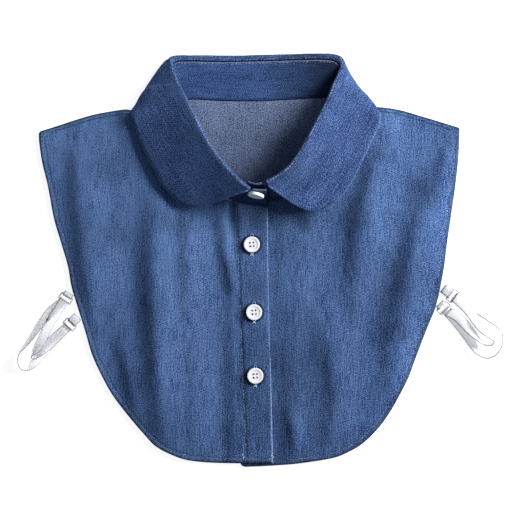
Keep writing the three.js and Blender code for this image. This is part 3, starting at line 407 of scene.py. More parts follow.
def denim(
    name, dark, light, pale, streak=1.0, fade=(0, 0), hem_at=None, stitched=(), worn_and_highlit=(), painted_shade=(),
    edge_shade=0.0, edge_rub_and_highlight=0.0,
):
    """Washed denim: slubs down the warp, speckled grain where white weft shows, dented seams.

    fade is how much paler it gets per 100 mm across and along the warp. hem_at is the distance of a
    stitch line from the piece's outer edge. stitched and worn_and_highlit are lines x + slope * y = offset
    in the weave's own mm, a pale line with its half width, partly from wear and partly a painted highlight.
    painted_shade are discs (x, y, radius, how soft, how dark) of painted shade. edge_shade is how dark the
    painted shade is on the outer edge where it turns under and along the shoulder seam, and
    edge_rub_and_highlight is how pale the outer edge is, partly from wear and partly a painted highlight.
    The dents of the stitches get painted shade as well.
    """
    material, tree, output = new_material(name)
    weave = add_node(tree, "UVMap", uv_map="weave")
    seam = add_node(tree, "UVMap", uv_map="seam")
    # Features in mm, across and along the warp. Warp yarns are 0.4 mm apart; slubs and grain are drawn
    # two to three times as wide, so that they show. Twill lines are 1.5 mm apart, one to every four yarns.
    patterns = {}
    for pattern, across, along, detail in (
        ("slubs", 0.8, 13, 2), ("grain", 0.76, 1.05, 1), ("bands", 11, 120, 2), ("wash", 30, 48, 3),
        ("thread_wear", 9, 9, 1),
    ):
        mapping = add_node(tree, "Mapping", {"Vector": weave, "Scale": (100 / across, 100 / along, 1)})
        patterns[pattern] = add_node(
            tree, "TexNoise", {"Vector": mapping, "Scale": 1.0, "Detail": detail, "Roughness": 0.6}
        ).outputs["Fac"]
    turned = add_node(
        tree, "Mapping",
        {"Vector": weave, "Scale": (100 / 1.5, 100 / 1.5, 1), "Rotation": (0, 0, math.radians(62))},
    )
    patterns["twill"] = add_node(
        tree, "TexWave",
        {"Vector": turned, "Scale": 0.31, "Distortion": 2.2, "Detail": 1.0, "Detail Scale": 1.6},
    ).outputs["Fac"]
    slubs, grain = patterns["slubs"], patterns["grain"]

    weave_mm = add_node(tree, "VectorMath", {0: weave, "Scale": 100}, operation="SCALE")
    place = add_node(tree, "SeparateXYZ", {"Vector": weave_mm})
    x, y = place.outputs["X"], place.outputs["Y"]
    seam_mm = add_node(tree, "VectorMath", {0: seam, "Scale": 100}, operation="SCALE")
    along_seam = add_node(tree, "SeparateXYZ", {"Vector": seam_mm})
    travelled, from_edge = along_seam.outputs["X"], along_seam.outputs["Y"]

    strengths = {"slubs": 2.4 * streak, "grain": 3.2, "bands": 0.8 * streak, "wash": 0.8, "twill": 0.2}
    tone = 0.5 - sum(strengths.values()) / 2
    for pattern, strength in strengths.items():
        tone = add_node(tree, "Math", (patterns[pattern], strength, tone), operation="MULTIPLY_ADD")
    for axis, paler in ((x, fade[0]), (y, fade[1])):
        tone = add_node(tree, "Math", (axis, paler / 100, tone), operation="MULTIPLY_ADD")
    tone = add_node(tree, "Clamp", {"Value": tone})
    cloth = add_node(tree, "Mix", {"Factor": tone, "A": linear(dark), "B": linear(light)}, data_type="RGBA")

    def off_line(slope, offset):
        """Distance from the line x + slope * y = offset."""
        across = add_node(tree, "Math", (y, slope, x), operation="MULTIPLY_ADD")
        across = add_node(tree, "Math", (across, offset), operation="SUBTRACT")
        return add_node(tree, "Math", (across,), operation="ABSOLUTE")

    def stitches(off, travelled):
        """A dashed thread 0.6 mm wide where off is 0, and the dent that it pulls into the cloth."""
        line = add_node(tree, "Math", (off, -3.6, 1.6), operation="MULTIPLY_ADD", use_clamp=True)
        part = add_node(tree, "Math", (travelled, STITCH_PITCH), operation="DIVIDE")
        part = add_node(tree, "Math", (part,), operation="FRACT")
        part = add_node(tree, "Math", (part, 0.5), operation="SUBTRACT")
        part = add_node(tree, "Math", (part,), operation="ABSOLUTE")
        dash = add_node(tree, "Math", (part, 0.33), operation="LESS_THAN")
        thread = add_node(tree, "Math", (line, dash), operation="MULTIPLY")
        dent = add_node(tree, "Math", (off, -0.5, 1), operation="MULTIPLY_ADD", use_clamp=True)
        return thread, dent

    thread, dent, rub_and_highlight, painted_edge_shade, painted_shade_mask = 0.0, 0.0, 0.0, 0.0, 0.0
    if hem_at is not None:
        off = add_node(tree, "Math", (from_edge, hem_at), operation="SUBTRACT")
        thread, dent = stitches(add_node(tree, "Math", (off,), operation="ABSOLUTE"), travelled)
        thread = add_node(tree, "Math", (thread, 0.8), operation="MULTIPLY")
    if edge_shade:
        # Painted shade darkens the outer edge where it turns under, more along the shoulder seam, which is
        # sewn from inside: no hem stitch shows along it, and a painted shadow line runs beside it.
        shoulder = add_node(tree, "Math", (y, 0.2, -20), operation="MULTIPLY_ADD", use_clamp=True)
        hemmed = add_node(tree, "Math", (1, shoulder), operation="SUBTRACT")
        thread = add_node(tree, "Math", (thread, hemmed), operation="MULTIPLY")
        dent = add_node(tree, "Math", (dent, hemmed), operation="MULTIPLY")
        painted_edge_shade = add_node(
            tree, "Math", (from_edge, -1 / EDGE_SHADE_WIDTH, 1), operation="MULTIPLY_ADD", use_clamp=True
        )
        sharper = add_node(tree, "Math", (shoulder, 0.5, 1), operation="MULTIPLY_ADD")
        painted_edge_shade = add_node(tree, "Math", (painted_edge_shade, sharper), operation="MULTIPLY")
        beside = add_node(tree, "Math", (from_edge, SHOULDER_SHADOW_LINE), operation="SUBTRACT")
        beside = add_node(tree, "Math", (beside,), operation="ABSOLUTE")
        groove_shadow = add_node(tree, "Math", (1, beside), operation="SUBTRACT", use_clamp=True)
        groove_shadow = add_node(tree, "Math", (groove_shadow, shoulder), operation="MULTIPLY")
        painted_edge_shade = add_node(tree, "Math", (painted_edge_shade, groove_shadow), operation="MAXIMUM")
        painted_edge_shade = add_node(tree, "Math", (painted_edge_shade, edge_shade), operation="MULTIPLY")
    for slope, offset in stitched:
        more_thread, more_dent = stitches(off_line(slope, offset), y)
        thread = add_node(tree, "Math", (thread, more_thread), operation="MAXIMUM")
        dent = add_node(tree, "Math", (dent, more_dent), operation="MAXIMUM")
    # Pale lines, partly from wear and partly a painted highlight.
    for slope, offset, half_width in worn_and_highlit:
        off = off_line(slope, offset)
        more_rub_and_highlight = add_node(tree, "Math", (off, -1 / half_width, 1), operation="MULTIPLY_ADD", use_clamp=True)
        rub_and_highlight = add_node(tree, "Math", (rub_and_highlight, more_rub_and_highlight), operation="MAXIMUM")
    # The outer edge is pale, partly from wear and partly a painted highlight.
    if edge_rub_and_highlight:
        more_rub_and_highlight = add_node(
            tree, "Math", (from_edge, -1 / EDGE_PALE_WIDTH, 1), operation="MULTIPLY_ADD", use_clamp=True
        )
        more_rub_and_highlight = add_node(tree, "Math", (more_rub_and_highlight, edge_rub_and_highlight), operation="MULTIPLY")
        rub_and_highlight = add_node(tree, "Math", (rub_and_highlight, more_rub_and_highlight), operation="MAXIMUM")
    # Painted shade: each disc darkens the cloth's colour.
    for disc_x, disc_y, radius, softness, darkness in painted_shade:
        away = add_node(tree, "VectorMath", {0: weave_mm, 1: (disc_x, disc_y, 0)}, operation="DISTANCE")
        within = add_node(
            tree, "Math", (away.outputs["Value"], -1 / softness, radius / softness + 0.5),
            operation="MULTIPLY_ADD", use_clamp=True,
        )
        within = add_node(tree, "Math", (within, darkness), operation="MULTIPLY")
        painted_shade_mask = add_node(tree, "Math", (painted_shade_mask, within), operation="MAXIMUM")

    # Pale wear and painted highlight show on the raised yarns first, and pale weft shows in flecks where a
    # seam dents the cloth.
    raised = add_node(tree, "Math", (grain, 2.0, -0.3), operation="MULTIPLY_ADD", use_clamp=True)
    rub_and_highlight = add_node(tree, "Math", (rub_and_highlight, raised), operation="MULTIPLY")
    speck = add_node(tree, "Math", (grain, 4, -2.2), operation="MULTIPLY_ADD", use_clamp=True)
    fleck = add_node(tree, "Math", (dent, speck), operation="MULTIPLY")
    kept = add_node(
        tree, "Math", (patterns["thread_wear"], 5, -2), operation="MULTIPLY_ADD", use_clamp=True
    )
    thread = add_node(tree, "Math", (thread, kept), operation="MULTIPLY")
    # Painted shade: the colour is darkened in the stitch dents, at the outer edge and in the discs.
    shade = add_node(tree, "Math", (dent, -0.26, 1), operation="MULTIPLY_ADD")
    for darker in (painted_edge_shade, painted_shade_mask):
        shade = add_node(tree, "Math", (shade, darker), operation="SUBTRACT")
    cloth = add_node(
        tree, "Mix", {"Factor": 1.0, "A": cloth, "B": shade}, data_type="RGBA", blend_type="MULTIPLY"
    )
    for mask, strength in ((rub_and_highlight, 0.62), (fleck, 0.45), (thread, 0.5)):
        factor = add_node(tree, "Math", (mask, strength), operation="MULTIPLY")
        cloth = add_node(tree, "Mix", {"Factor": factor, "A": cloth, "B": linear(pale)}, data_type="RGBA")
    relief = 0.0
    for height, strength in (
        (slubs, 0.5), (grain, 0.8), (patterns["twill"], 0.25), (dent, -1.3), (thread, 0.9)
    ):
        relief = add_node(tree, "Math", (height, strength, relief), operation="MULTIPLY_ADD")
    bump = add_node(tree, "Bump", {"Height": relief, "Strength": 0.6, "Distance": 0.0004})
    shader = add_node(
        tree, "BsdfPrincipled",
        {"Base Color": cloth, "Roughness": 0.88, "Specular IOR Level": 0.15, "Normal": bump},
    )
    tree.links.new(shader.outputs["BSDF"], output.inputs["Surface"])
    return material


# Painted shade, mostly along the folds and where the collar and its leaf shade the bib. Columns: x, y,
# radius, how soft, all mm, and how dark.
PAINTED_SHADE_PATCHES = [
    (18, -92, 55, 90, 0.32), (0, 34, 16, 40, 0.4), (-128, 94, 14, 44, 0.24), (138, 78, 8, 44, 0.2),
    (-21.5, 44, 3, 6, 0.5), (-122, 76, 16, 36, 0.34), (-122, 24, 16, 36, 0.32), (-41, 16, 14, 40, 0.13),
    (31, 20, 8, 30, 0.18), (70, 34, 14, 24, 0.32), (112, -20, 20, 34, 0.4), (127, 58, 9, 24, 0.38),
    (-103, -127, 8, 24, 0.2), (50, -146, 10, 24, 0.16), (-150, 102, 12, 26, 0.15), (10, 0, 90, 90, 0.12),
    (-2, -22, 14, 26, 0.42), (-5, 32, 10, 18, 0.5), (34, 31, 8, 11, 0.68), (-81, -35, 9, 26, 0.3),
    (-97, -98, 9, 18, 0.34), (-65, 28, 7, 14, 0.32), (-33, 26, 6, 12, 0.32), (64, -60, 10, 30, 0.22),
    (110, -54, 8, 22, 0.4), (0, -100, 8, 18, 0.3),
]
# Indigo warp over white weft, stone washed: a dull blue, streaked and speckled, paler to the wearer's right.
# Painted shade darkens its outer edges, the shoulder seams and the patches.
denim_face = denim(
    "washed_denim", "1b2f5a", "6080b2", "a3b8d8", streak=0.75, fade=(-0.10, 0.08), hem_at=HEM_WIDTH,
    edge_shade=0.6, painted_shade=PAINTED_SHADE_PATCHES,
)
# The same cloth from behind, where more of the white weft shows: a greyish, evenly speckled blue.
denim_wrong = denim("denim_wrong_side", "28324c", "7a8aab", "aeb8cc", streak=0.45)

back_outline = np.vstack([
    smooth_line(toward_centre(LEFT_SIDE[:-1] + RIGHT_SIDE[2:], 0.8), 3),
    smooth_line(toward_centre(RIGHT_SHOULDER, 0.8), 3),
    smooth_line(
        neck_edge(RIGHT_NECK_POINT - 1, RIGHT_NECK_POINT, -1.5)[::-1]
        + neck_edge(LEFT_NECK_POINT + 1, RIGHT_NECK_POINT - 2, -0.5)[::-1]
        + neck_edge(LEFT_NECK_POINT - 1, LEFT_NECK_POINT, -1.5)[::-1],
        3,
    ),
    smooth_line(toward_centre(LEFT_SHOULDER, 0.8)[::-1], 3),
])
back_bib = bib_sheet("back_bib", back_outline, OUTER_EDGE, back_middle, step=(3.2, 3.6))
back_bib.data.materials.append(denim_wrong)
back_bib.data.materials.append(denim_face)
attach(back_bib, "root")
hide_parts("back_panel")

# Right front bib: one layer of denim that lies loosely over the back bib, caught at the neck and shoulder.
# Its front edge runs under the placket of the other half and shows a little below it at the hem.
# Soft folds run down it from the shoulder and from under the collar.
FRONT_PUFF = 3.2
PUFF_REACH = 38
UNDER_EDGE_X = -18.4
# Each fold is a soft ridge. Columns: its crest as x y points, height, reach to the wearer's right of the
# crest, reach to the left, all mm.
FRONT_FOLDS = [
    ([(-82, 46), (-85, -20), (-81, -90), (-76, -148)], 7.8, 12, 26),
    ([(-57, 34), (-58, 4), (-57, -40)], 3.2, 7, 13),
    ([(-52, -40), (-50, -100), (-50, -150)], 2.0, 10, 12),
    ([(-146, 86), (-142, 20), (-133, -44)], 4.4, 9, 18),
    ([(-110, -66), (-98, -126)], 3.2, 6, 12),
    ([(-33, 36), (-28, 2), (-20, -28)], 2.3, 4.5, 6),
    ([(91, 94), (84, 40), (72, -24)], 5.6, 12, 22),
    ([(160, 104), (150, 74), (133, 38), (114, -30), (100, -108)], 6.4, 12, 21),
    ([(44, -36), (60, -96), (54, -156)], 3.4, 9, 18),
    ([(23, -118), (29, -156)], 2.0, 4, 7),
]
LEAF_EDGE = [row[9:11] for row in COLLAR_ROWS if len(row) > 6]


def fold_height(fold, x, y):
    """How far one fold raises the cloth, fading out towards both ends of its crest."""
    crest, height, right_reach, left_reach = fold
    line = smooth_line(crest, 8)
    length = np.sum(np.linalg.norm(np.diff(line, axis=0), axis=1))
    away, along = line_distance(line, x, y)
    side = x - np.interp(y, line[::-1, 1], line[::-1, 0])
    reach = np.where(side < 0, right_reach, left_reach)
    fade = np.maximum(np.sin(math.pi * (along / length * 0.86 + 0.07)), 0) ** 0.7
    return height * fade * np.exp(-((away / reach) ** 2))


def inside_line(line, x, y):
    """Whether each point lies inside the closed line."""
    inside = np.zeros(len(x), bool)
    for (ax, ay), (bx, by) in zip(line, list(line[1:]) + [line[0]]):
        if ay == by:
            continue
        crosses = (ay > y) != (by > y)
        inside ^= crosses & (x < (bx - ax) * (y - ay) / (by - ay) + ax)
    return inside


def front_middle(x, y):
    """Height of the middle of the front bib's cloth, the same rule for both halves."""
    edge, along = line_distance(OUTER_EDGE, x, y)
    inside = smooth_step(edge / PUFF_REACH)
    hem_ease = smooth_step(edge / 12)
    # The leaf presses the folds down, so free is low beneath it. The placket is sewn flat, so loose is 0
    # there.
    from_leaf, _ = line_distance(LEAF_EDGE, x, y)
    from_leaf = np.where(inside_line(LEAF_EDGE, x, y), 0, from_leaf)
    free = 0.22 + 0.78 * smooth_step(from_leaf / 18)
    loose = smooth_step((np.abs(x + 5) - 8) / 9)
    folds = sum(fold_height(fold, x, y) for fold in FRONT_FOLDS) * free * loose * (0.5 + 0.5 * hem_ease)
    crumple = 0.55 * ripple(x, y, 15, 3.2, 3) * hem_ease * (0.2 + 0.8 * loose * free)
    pucker = 0.22 * np.sin(along / 1.7) * smooth_step(1 - edge / 9) * smooth_step(edge / 1.5)
    resting = back_lift(x, y) + BIB_CLOTH / 2 + BIB_CLOTH + LAYER_GAP
    return resting + FRONT_PUFF * inside + folds + crumple + pucker


def right_middle(x, y):
    """The right half also swells a little beside the placket that lies on it."""
    beside_lap = 1.5 * smooth_step((x - 7.5 - 0.02 * (20 - y)) / 13) * smooth_step((64 - x) / 44)
    return front_middle(x, y) + beside_lap * smooth_step((44 - y) / 20)


right_outline = np.vstack([
    smooth_line([(-12.6, -164.9)] + RIGHT_SIDE[1:], 3),
    smooth_line(RIGHT_SHOULDER, 3),
    smooth_line(neck_edge(RIGHT_NECK_POINT + 1, len(COLLAR_ROWS) - 2, 1.3), 3),
    [(UNDER_EDGE_X, 46.5)],
    smooth_line([(UNDER_EDGE_X, 46), (-17.6, -60), (-16.8, -160)], 6),
    [(-16.4, -162.4), (-15.2, -164.1)],
])
right_front = bib_sheet("right_front_bib", right_outline, RIGHT_SIDE + RIGHT_SHOULDER, right_middle)
right_front.data.materials.append(denim_face)
right_front.data.materials.append(denim_wrong)
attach(right_front, "root")
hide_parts("front_panel_right")

# Left front bib: the upper half, with its front edge turned under and stitched as a 25 mm placket.
# Three upright buttonholes are cut through the placket.
PLACKET_LAP = 1.7
PLACKET_EDGE = [(9.6, -162), (8, -95.6), (6.4, -41.2), (5.2, 43)]
PLACKET_STITCH = (0.0395, -18.15)


def left_middle(x, y):
    """The left half rises over the under lap, thickens at the placket and is drawn in along its stitching."""
    lap = PLACKET_LAP * smooth_step((x - UNDER_EDGE_X + 13) / 11)
    off = x + PLACKET_STITCH[0] * y - PLACKET_STITCH[1]
    # The placket is doubled, and thickest near the neck.
    ply = (0.35 + 0.9 * smooth_step((y - 20) / 14)) * smooth_step((off + 0.8) / 1.6)
    # Its stitching puckers the cloth, and a trough runs beside it, deepest near the neck.
    drawn = 0.25 * np.exp(-((off / 2.5) ** 2)) * (1 + np.sin(y / 2.1))
    near_neck = smooth_step((y - 6) / 30)
    trough = np.exp(-(((off + 2.6 + 2.2 * near_neck) / (2.2 + near_neck)) ** 2))
    trough *= 0.7 * smooth_step((y + 150) / 90) + 2.0 * near_neck
    return front_middle(x, y) + lap + ply - (drawn + trough)


left_outline = np.vstack([
    smooth_line(LEFT_SIDE, 3),
    smooth_line(PLACKET_EDGE, 5)[1:],
    smooth_line(neck_edge(1, LEFT_NECK_POINT - 1, 0.5), 3),
    smooth_line(LEFT_SHOULDER[::-1], 3),
])
left_front = bib_sheet("left_front_bib", left_outline, LEFT_SHOULDER[::-1] + LEFT_SIDE, left_middle)
FRONT_BUTTONS = {"button_top": (-7.4, 12.8), "button_middle": (-5.6, -41.2), "button_bottom": (-4.6, -91.9)}
# The same denim, with painted shade in a ring round each button, and a pale line along the placket's edge,
# partly from wear and partly a painted highlight where the fold catches the light.
placket_denim = denim(
    "washed_denim_placket", "1b2f5a", "6080b2", "a3b8d8", streak=0.75, fade=(-0.10, 0.08), hem_at=HEM_WIDTH,
    edge_shade=0.6, stitched=[PLACKET_STITCH], worn_and_highlit=[(0.0215, 5.9, 0.85)],
    painted_shade=PAINTED_SHADE_PATCHES + [(x, y, 8.5, 1.2, 0.75) for x, y in FRONT_BUTTONS.values()],
)
left_front.data.materials.append(placket_denim)
left_front.data.materials.append(denim_wrong)


def flat_loop(name, width, length, corner, bar):
    """A rounded rectangular loop of round bar, lying flat about the origin, in metres."""
    bpy.ops.object.select_all(action="DESELECT")
    bpy.ops.mesh.primitive_plane_add(size=1, location=(0, 0, 0))
    made = bpy.context.object
    made.name = name
    made.scale = (width * mm, length * mm, 1)
    bpy.ops.object.transform_apply(location=True, rotation=True, scale=True)
    bpy.ops.object.mode_set(mode="EDIT")
    bpy.ops.mesh.select_all(action="SELECT")
    bpy.ops.mesh.bevel(offset=corner * mm, segments=5, affect="VERTICES")
    bpy.ops.mesh.select_all(action="SELECT")
    bpy.ops.mesh.delete(type="ONLY_FACE")
    bpy.ops.object.mode_set(mode="OBJECT")
    bpy.ops.object.convert(target="CURVE")
    made.data.bevel_depth = bar / 2 * mm
    made.data.bevel_resolution = 3
    bpy.ops.object.convert(target="MESH")
    made = bpy.context.object
    made.data.materials.clear()
    bpy.ops.object.shade_smooth()
    return made


def thread_material(name, dark, light):
    """Mercerised cotton thread, spun and twisted: a slight sheen, and strands about 1 mm apart."""
    material, tree, output = new_material(name)
    place = add_node(tree, "TexCoord").outputs["Object"]
    strands = add_node(
        tree, "TexWave", {"Vector": place, "Scale": 350.0, "Distortion": 1.0},
        bands_direction="DIAGONAL",
    )
    tint = add_node(
        tree, "Mix", {"Factor": strands.outputs["Fac"], "A": linear(dark), "B": linear(light)},
        data_type="RGBA",
    )
    shader = add_node(
        tree, "BsdfPrincipled",
        {"Base Color": tint, "Roughness": 0.7},
    )
    tree.links.new(shader.outputs["BSDF"], output.inputs["Surface"])
    return material


# Width of the slit and its length, and the bar of stitches round it.
BUTTONHOLE = (0.8, 15.0)
STITCH_BAR = 0.7
THREAD_END = 2.6
blue_thread = thread_material("blue_buttonhole_thread", "3d588c", "7f98c4")
white_thread = thread_material("white_cotton_thread", "bcbcc4", "ededf0")
for node, (x, y) in FRONT_BUTTONS.items():
    middle_x, middle_y = (x + FOOTPRINT_SHIFT[0]) * mm, (y + FOOTPRINT_SHIFT[1]) * mm
    bpy.ops.object.select_all(action="DESELECT")
    bpy.ops.mesh.primitive_cube_add(size=1, location=(middle_x, middle_y, 0.01))
    knife = bpy.context.object
    knife.scale = (BUTTONHOLE[0] * mm, BUTTONHOLE[1] * mm, 0.04)
    cut = left_front.modifiers.new("slit", "BOOLEAN")
    cut.operation = "DIFFERENCE"
    cut.object = knife
    bpy.context.view_layer.objects.active = left_front
    bpy.ops.object.modifier_apply(modifier="slit")
    bpy.data.objects.remove(knife)
    ends = np.array([y - BUTTONHOLE[1] / 2, y + BUTTONHOLE[1] / 2])
    low_end, high_end = left_middle(np.full(2, x), ends) + BIB_CLOTH / 2
    stitching = flat_loop(
        node + "_hole_stitching", BUTTONHOLE[0] + 1.3, BUTTONHOLE[1] + 1.6, STITCH_BAR, STITCH_BAR
    )
    tilt = math.atan2(high_end - low_end, BUTTONHOLE[1])
    settle = Matrix.Translation((middle_x, middle_y, ((low_end + high_end) / 2 + 0.02) * mm))
    stitching.data.transform(settle @ Matrix.Rotation(tilt, 4, "X"))
    stitching.data.materials.append(blue_thread)
    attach(stitching, "root")
    for end, height in ((-1, low_end), (1, high_end)):
        bpy.ops.object.select_all(action="DESELECT")
        bpy.ops.mesh.primitive_uv_sphere_add(
            segments=16, ring_count=10, radius=0.5,
            location=(middle_x, middle_y + end * (BUTTONHOLE[1] / 2 + 0.9) * mm, (height + 0.2) * mm),
            scale=(2.1 * mm, 0.8 * mm, 0.6 * mm),
        )
        tack = bpy.context.object
        tack.name = f"{node}_bar_tack_{'low' if end < 0 else 'high'}"
        bpy.ops.object.transform_apply(location=True, rotation=True, scale=True)
        bpy.ops.object.shade_smooth()
        tack.data.materials.append(blue_thread)
        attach(tack, "root")
    # Two ends of the sewing thread stick out below each button.
    for end, aside, turn in (("left", 0.5, 28), ("right", -0.5, -34)):
        bpy.ops.object.select_all(action="DESELECT")
        bpy.ops.mesh.primitive_cylinder_add(
            vertices=10, radius=0.2 * mm, depth=THREAD_END * mm,
            location=(middle_x + aside * mm, middle_y - 8.0 * mm, (low_end + 0.35) * mm),
            rotation=(math.radians(90), 0, math.radians(turn)),
        )
        tail = bpy.context.object
        tail.name = f"{node}_thread_end_{end}"
        bpy.ops.object.transform_apply(location=True, rotation=True, scale=True)
        tail.data.materials.append(white_thread)
        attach(tail, "root")
# The lower end of the placket is caught down with a few whip stitches at each side: x, y, turn.
WHIP_STITCHES = [(8.4, -155.6, 70), (9.6, -157.2, 40), (-14.6, -155.4, 80), (-13.8, -157.4, 95)]
for k, (x, y, turn) in enumerate(WHIP_STITCHES):
    bpy.ops.object.select_all(action="DESELECT")
    top = left_middle(np.array([min(x, 6.5)]), np.array([y]))[0] + BIB_CLOTH / 2
    bpy.ops.mesh.primitive_uv_sphere_add(
        segments=12, ring_count=8, radius=0.5, rotation=(0, 0, math.radians(turn)),
        location=((x + FOOTPRINT_SHIFT[0]) * mm, (y + FOOTPRINT_SHIFT[1]) * mm, (top + 0.1) * mm),
        scale=(2.2 * mm, 0.45 * mm, 0.4 * mm),
    )
    stitch = bpy.context.object
    stitch.name = f"placket_end_stitch_{k + 1}"
    bpy.ops.object.transform_apply(location=True, rotation=True, scale=True)
    bpy.ops.object.shade_smooth()
    stitch.data.materials.append(white_thread)
    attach(stitch, "root")
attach(left_front, "root")
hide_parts("front_panel_left")

# Collar stand: a two-ply band of denim sewn to the neck edge. It lies flat behind the neck, rises along the
# sides and leans inwards at the front, where its left end laps over the right one.
# It is edge-stitched just below the fold.
STAND_CLOTH = 1.8
ROWS_BETWEEN = 6
# The leaf's cloth comes this far down inside the fold before it meets the stand.
FOLD_FLAP = 1.5


def unit(v):
    """The vector at length 1."""
    return v / max(np.linalg.norm(v), 1e-9)


def fine_rows(table, rows_between):
    """The table's columns drawn out smoothly, with more rows between each pair."""
    rows = np.array(table, float)
    padded = np.vstack([2 * rows[0] - rows[1], rows, 2 * rows[-1] - rows[-2]])
    made = []
    for i in range(1, len(padded) - 2):
        a, b, c, d = padded[i - 1 : i + 3]
        made += [between(a, b, c, d, k / rows_between) for k in range(rows_between)]
    made.append(rows[-1])
    return made


def fold_frame(row):
    """At the fold of one section: its point, the ways into and across it, its radius, and the way down."""
    fold, seam = row[0:3], row[3:6]
    leaf = row[6:9] if len(row) > 6 else seam
    to_seam, to_leaf = unit(seam - fold), unit(leaf - fold)
    into = unit(to_seam + to_leaf)
    across = to_leaf - to_seam
    if np.linalg.norm(across) < 1e-6:
        across = np.array([0, -1, 0.2])
    across = unit(across - into * (across @ into))
    radius = 1.2 + 0.9 * float(smooth_step((12 - fold[2]) / 9))
    return fold, into, across, radius, to_seam


def stand_line(row, steps=16):
    """One section of the stand, from its top, just inside the fold, down to the neck seam."""
    fold, into, across, radius, to_seam = fold_frame(row)
    top = fold
    if len(row) > 6:
        clear = 0.9 + FOLD_FLAP + 9 * (1 - into @ to_seam)
        top = fold + into * radius - across * radius + to_seam * clear
    return [top + (row[3:6] - top) * k / steps for k in range(steps + 1)]


def soft_sheet(name, rows, thickness, hem_ends=(True, True, True, True), floor=None, crumple=0.0):
    """A closed sheet from rows of points on its middle surface, with rounded edges and coordinates in mm."""
    grid = np.array(rows, float)
    n, m, _ = grid.shape
    across = np.gradient(grid, axis=1)
    along = np.gradient(grid, axis=0)
    normals = np.cross(along, across)
    normals /= np.maximum(np.linalg.norm(normals, axis=2, keepdims=True), 1e-9)
    v = np.concatenate(
        [np.zeros((n, 1)), np.cumsum(np.linalg.norm(np.diff(grid, axis=1), axis=2), axis=1)], axis=1
    )
    middle = m // 2
    u = np.concatenate([[0], np.cumsum(np.linalg.norm(np.diff(grid[:, middle], axis=0), axis=1))])
    u = np.repeat(u[:, None], m, axis=1)
    far = np.full((n, m), 1e3)
    edge = np.minimum.reduce([
        v if hem_ends[0] else far,
        v[:, -1:] - v if hem_ends[1] else far,
        u if hem_ends[2] else far,
        u[-1:] - u if hem_ends[3] else far,
    ])
    true_edge = np.minimum.reduce([v, v[:, -1:] - v, u, u[-1:] - u])
    half = thickness / 2 * (1 - 0.5 * smooth_step(1 - true_edge / (thickness * 0.5)))
    if crumple:
        wave = np.array([
            [noise.noise(Vector((u[i, j] / 17, v[i, j] / 8, 5))) for j in range(m)] for i in range(n)
        ])
        pucker = 0.5 * np.sin(u / 1.5 + 2 * np.sin(u / 11)) * np.exp(-v / 3.5)
        grid = grid + normals * (crumple * (wave + pucker) * smooth_step(true_edge / 5 + 0.25))[..., None]
    upper = grid + normals * half[..., None]
    lower = grid - normals * half[..., None]
    points = np.concatenate([upper.reshape(-1, 3), lower.reshape(-1, 3)])
    if floor is not None:
        points[:, 2] = np.maximum(points[:, 2], floor)
    count = n * m
    faces = []
    for i in range(n - 1):
        for j in range(m - 1):
            a = i * m + j
            faces.append((a, a + m, a + m + 1, a + 1))
            faces.append((count + a, count + a + 1, count + a + m + 1, count + a + m))
    for i in range(n - 1):
        a, b = i * m, i * m + m - 1
        faces.append((a, count + a, count + a + m, a + m))
        faces.append((b, b + m, count + b + m, count + b))
    for j in range(m - 1):
        a, b = j, (n - 1) * m + j
        faces.append((a, a + 1, count + a + 1, count + a))
        faces.append((b, count + b, count + b + 1, b + 1))
    points[:, 0] += FOOTPRINT_SHIFT[0]
    points[:, 1] += FOOTPRINT_SHIFT[1]
    mesh = bpy.data.meshes.new(name)
    mesh.from_pydata(points.tolist(), [], faces)
    mesh.transform(MILLIMETRES)
    weave = mesh.uv_layers.new(name="weave")
    seam = mesh.uv_layers.new(name="seam")
    flat_u, flat_v, flat_edge = u.ravel(), v.ravel(), edge.ravel()
    travelled = np.where(flat_edge == flat_u, flat_v, flat_u)
    for corner, loop in enumerate(mesh.loops):
        i = loop.vertex_index % count
        weave.data[corner].uv = (flat_v[i] / 100, flat_u[i] / 100)
        seam.data[corner].uv = (travelled[i] / 100, flat_edge[i] / 100)
    for polygon in mesh.polygons:
        polygon.use_smooth = True
    face_out(mesh)
    return link_mesh(name, mesh)


# The stand's two ends reach past the leaf: up to its first row, and on from its last.
first_leaf = 2
last_leaf = len(COLLAR_ROWS) - 3
fine_collar = fine_rows(COLLAR_ROWS[first_leaf : last_leaf + 1], ROWS_BETWEEN)
left_end = fine_rows([row[:6] for row in COLLAR_ROWS[: first_leaf + 1]], ROWS_BETWEEN)[:-2]
right_end = fine_rows([row[:6] for row in COLLAR_ROWS[last_leaf:]], ROWS_BETWEEN)[2:]
fine_stand = [stand_line(row) for row in left_end + fine_collar + right_end]
stand = soft_sheet("collar_stand_band", fine_stand, STAND_CLOTH, crumple=0.22)
# Unwashed indigo denim, doubled: darker than the bib, pale only along its stitching and at its top from
# wear, with painted shade towards its right back corner and at both front ends.
stand_denim = denim(
    "stand_denim", "14244a", "48669a", "8ba2c8", streak=0.6, stitched=[(0, 1.3)], worn_and_highlit=[(0, 0.3, 0.7)],
    painted_shade=[(14, 264, 40, 50, 0.75), (14, 2, 24, 12, 0.5), (14, 398, 24, 12, 0.5)],
)
stand.data.materials.append(stand_denim)
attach(stand, "root")
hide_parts("collar_stand")

# Collar leaf: the turned-down part, two plies sewn right sides out with rounded front corners.
# It folds over the top of the stand, stands off the front bib, and lies flat under the back bib.
LEAF_CLOTH = 1.6
# At the front its outer edge stands this far clear of the bib, and its soft cloth spreads this far,
# left and right.
LEAF_EDGE_LIFT = 2.4
LEAF_SPREAD = (1.5, 2.2)


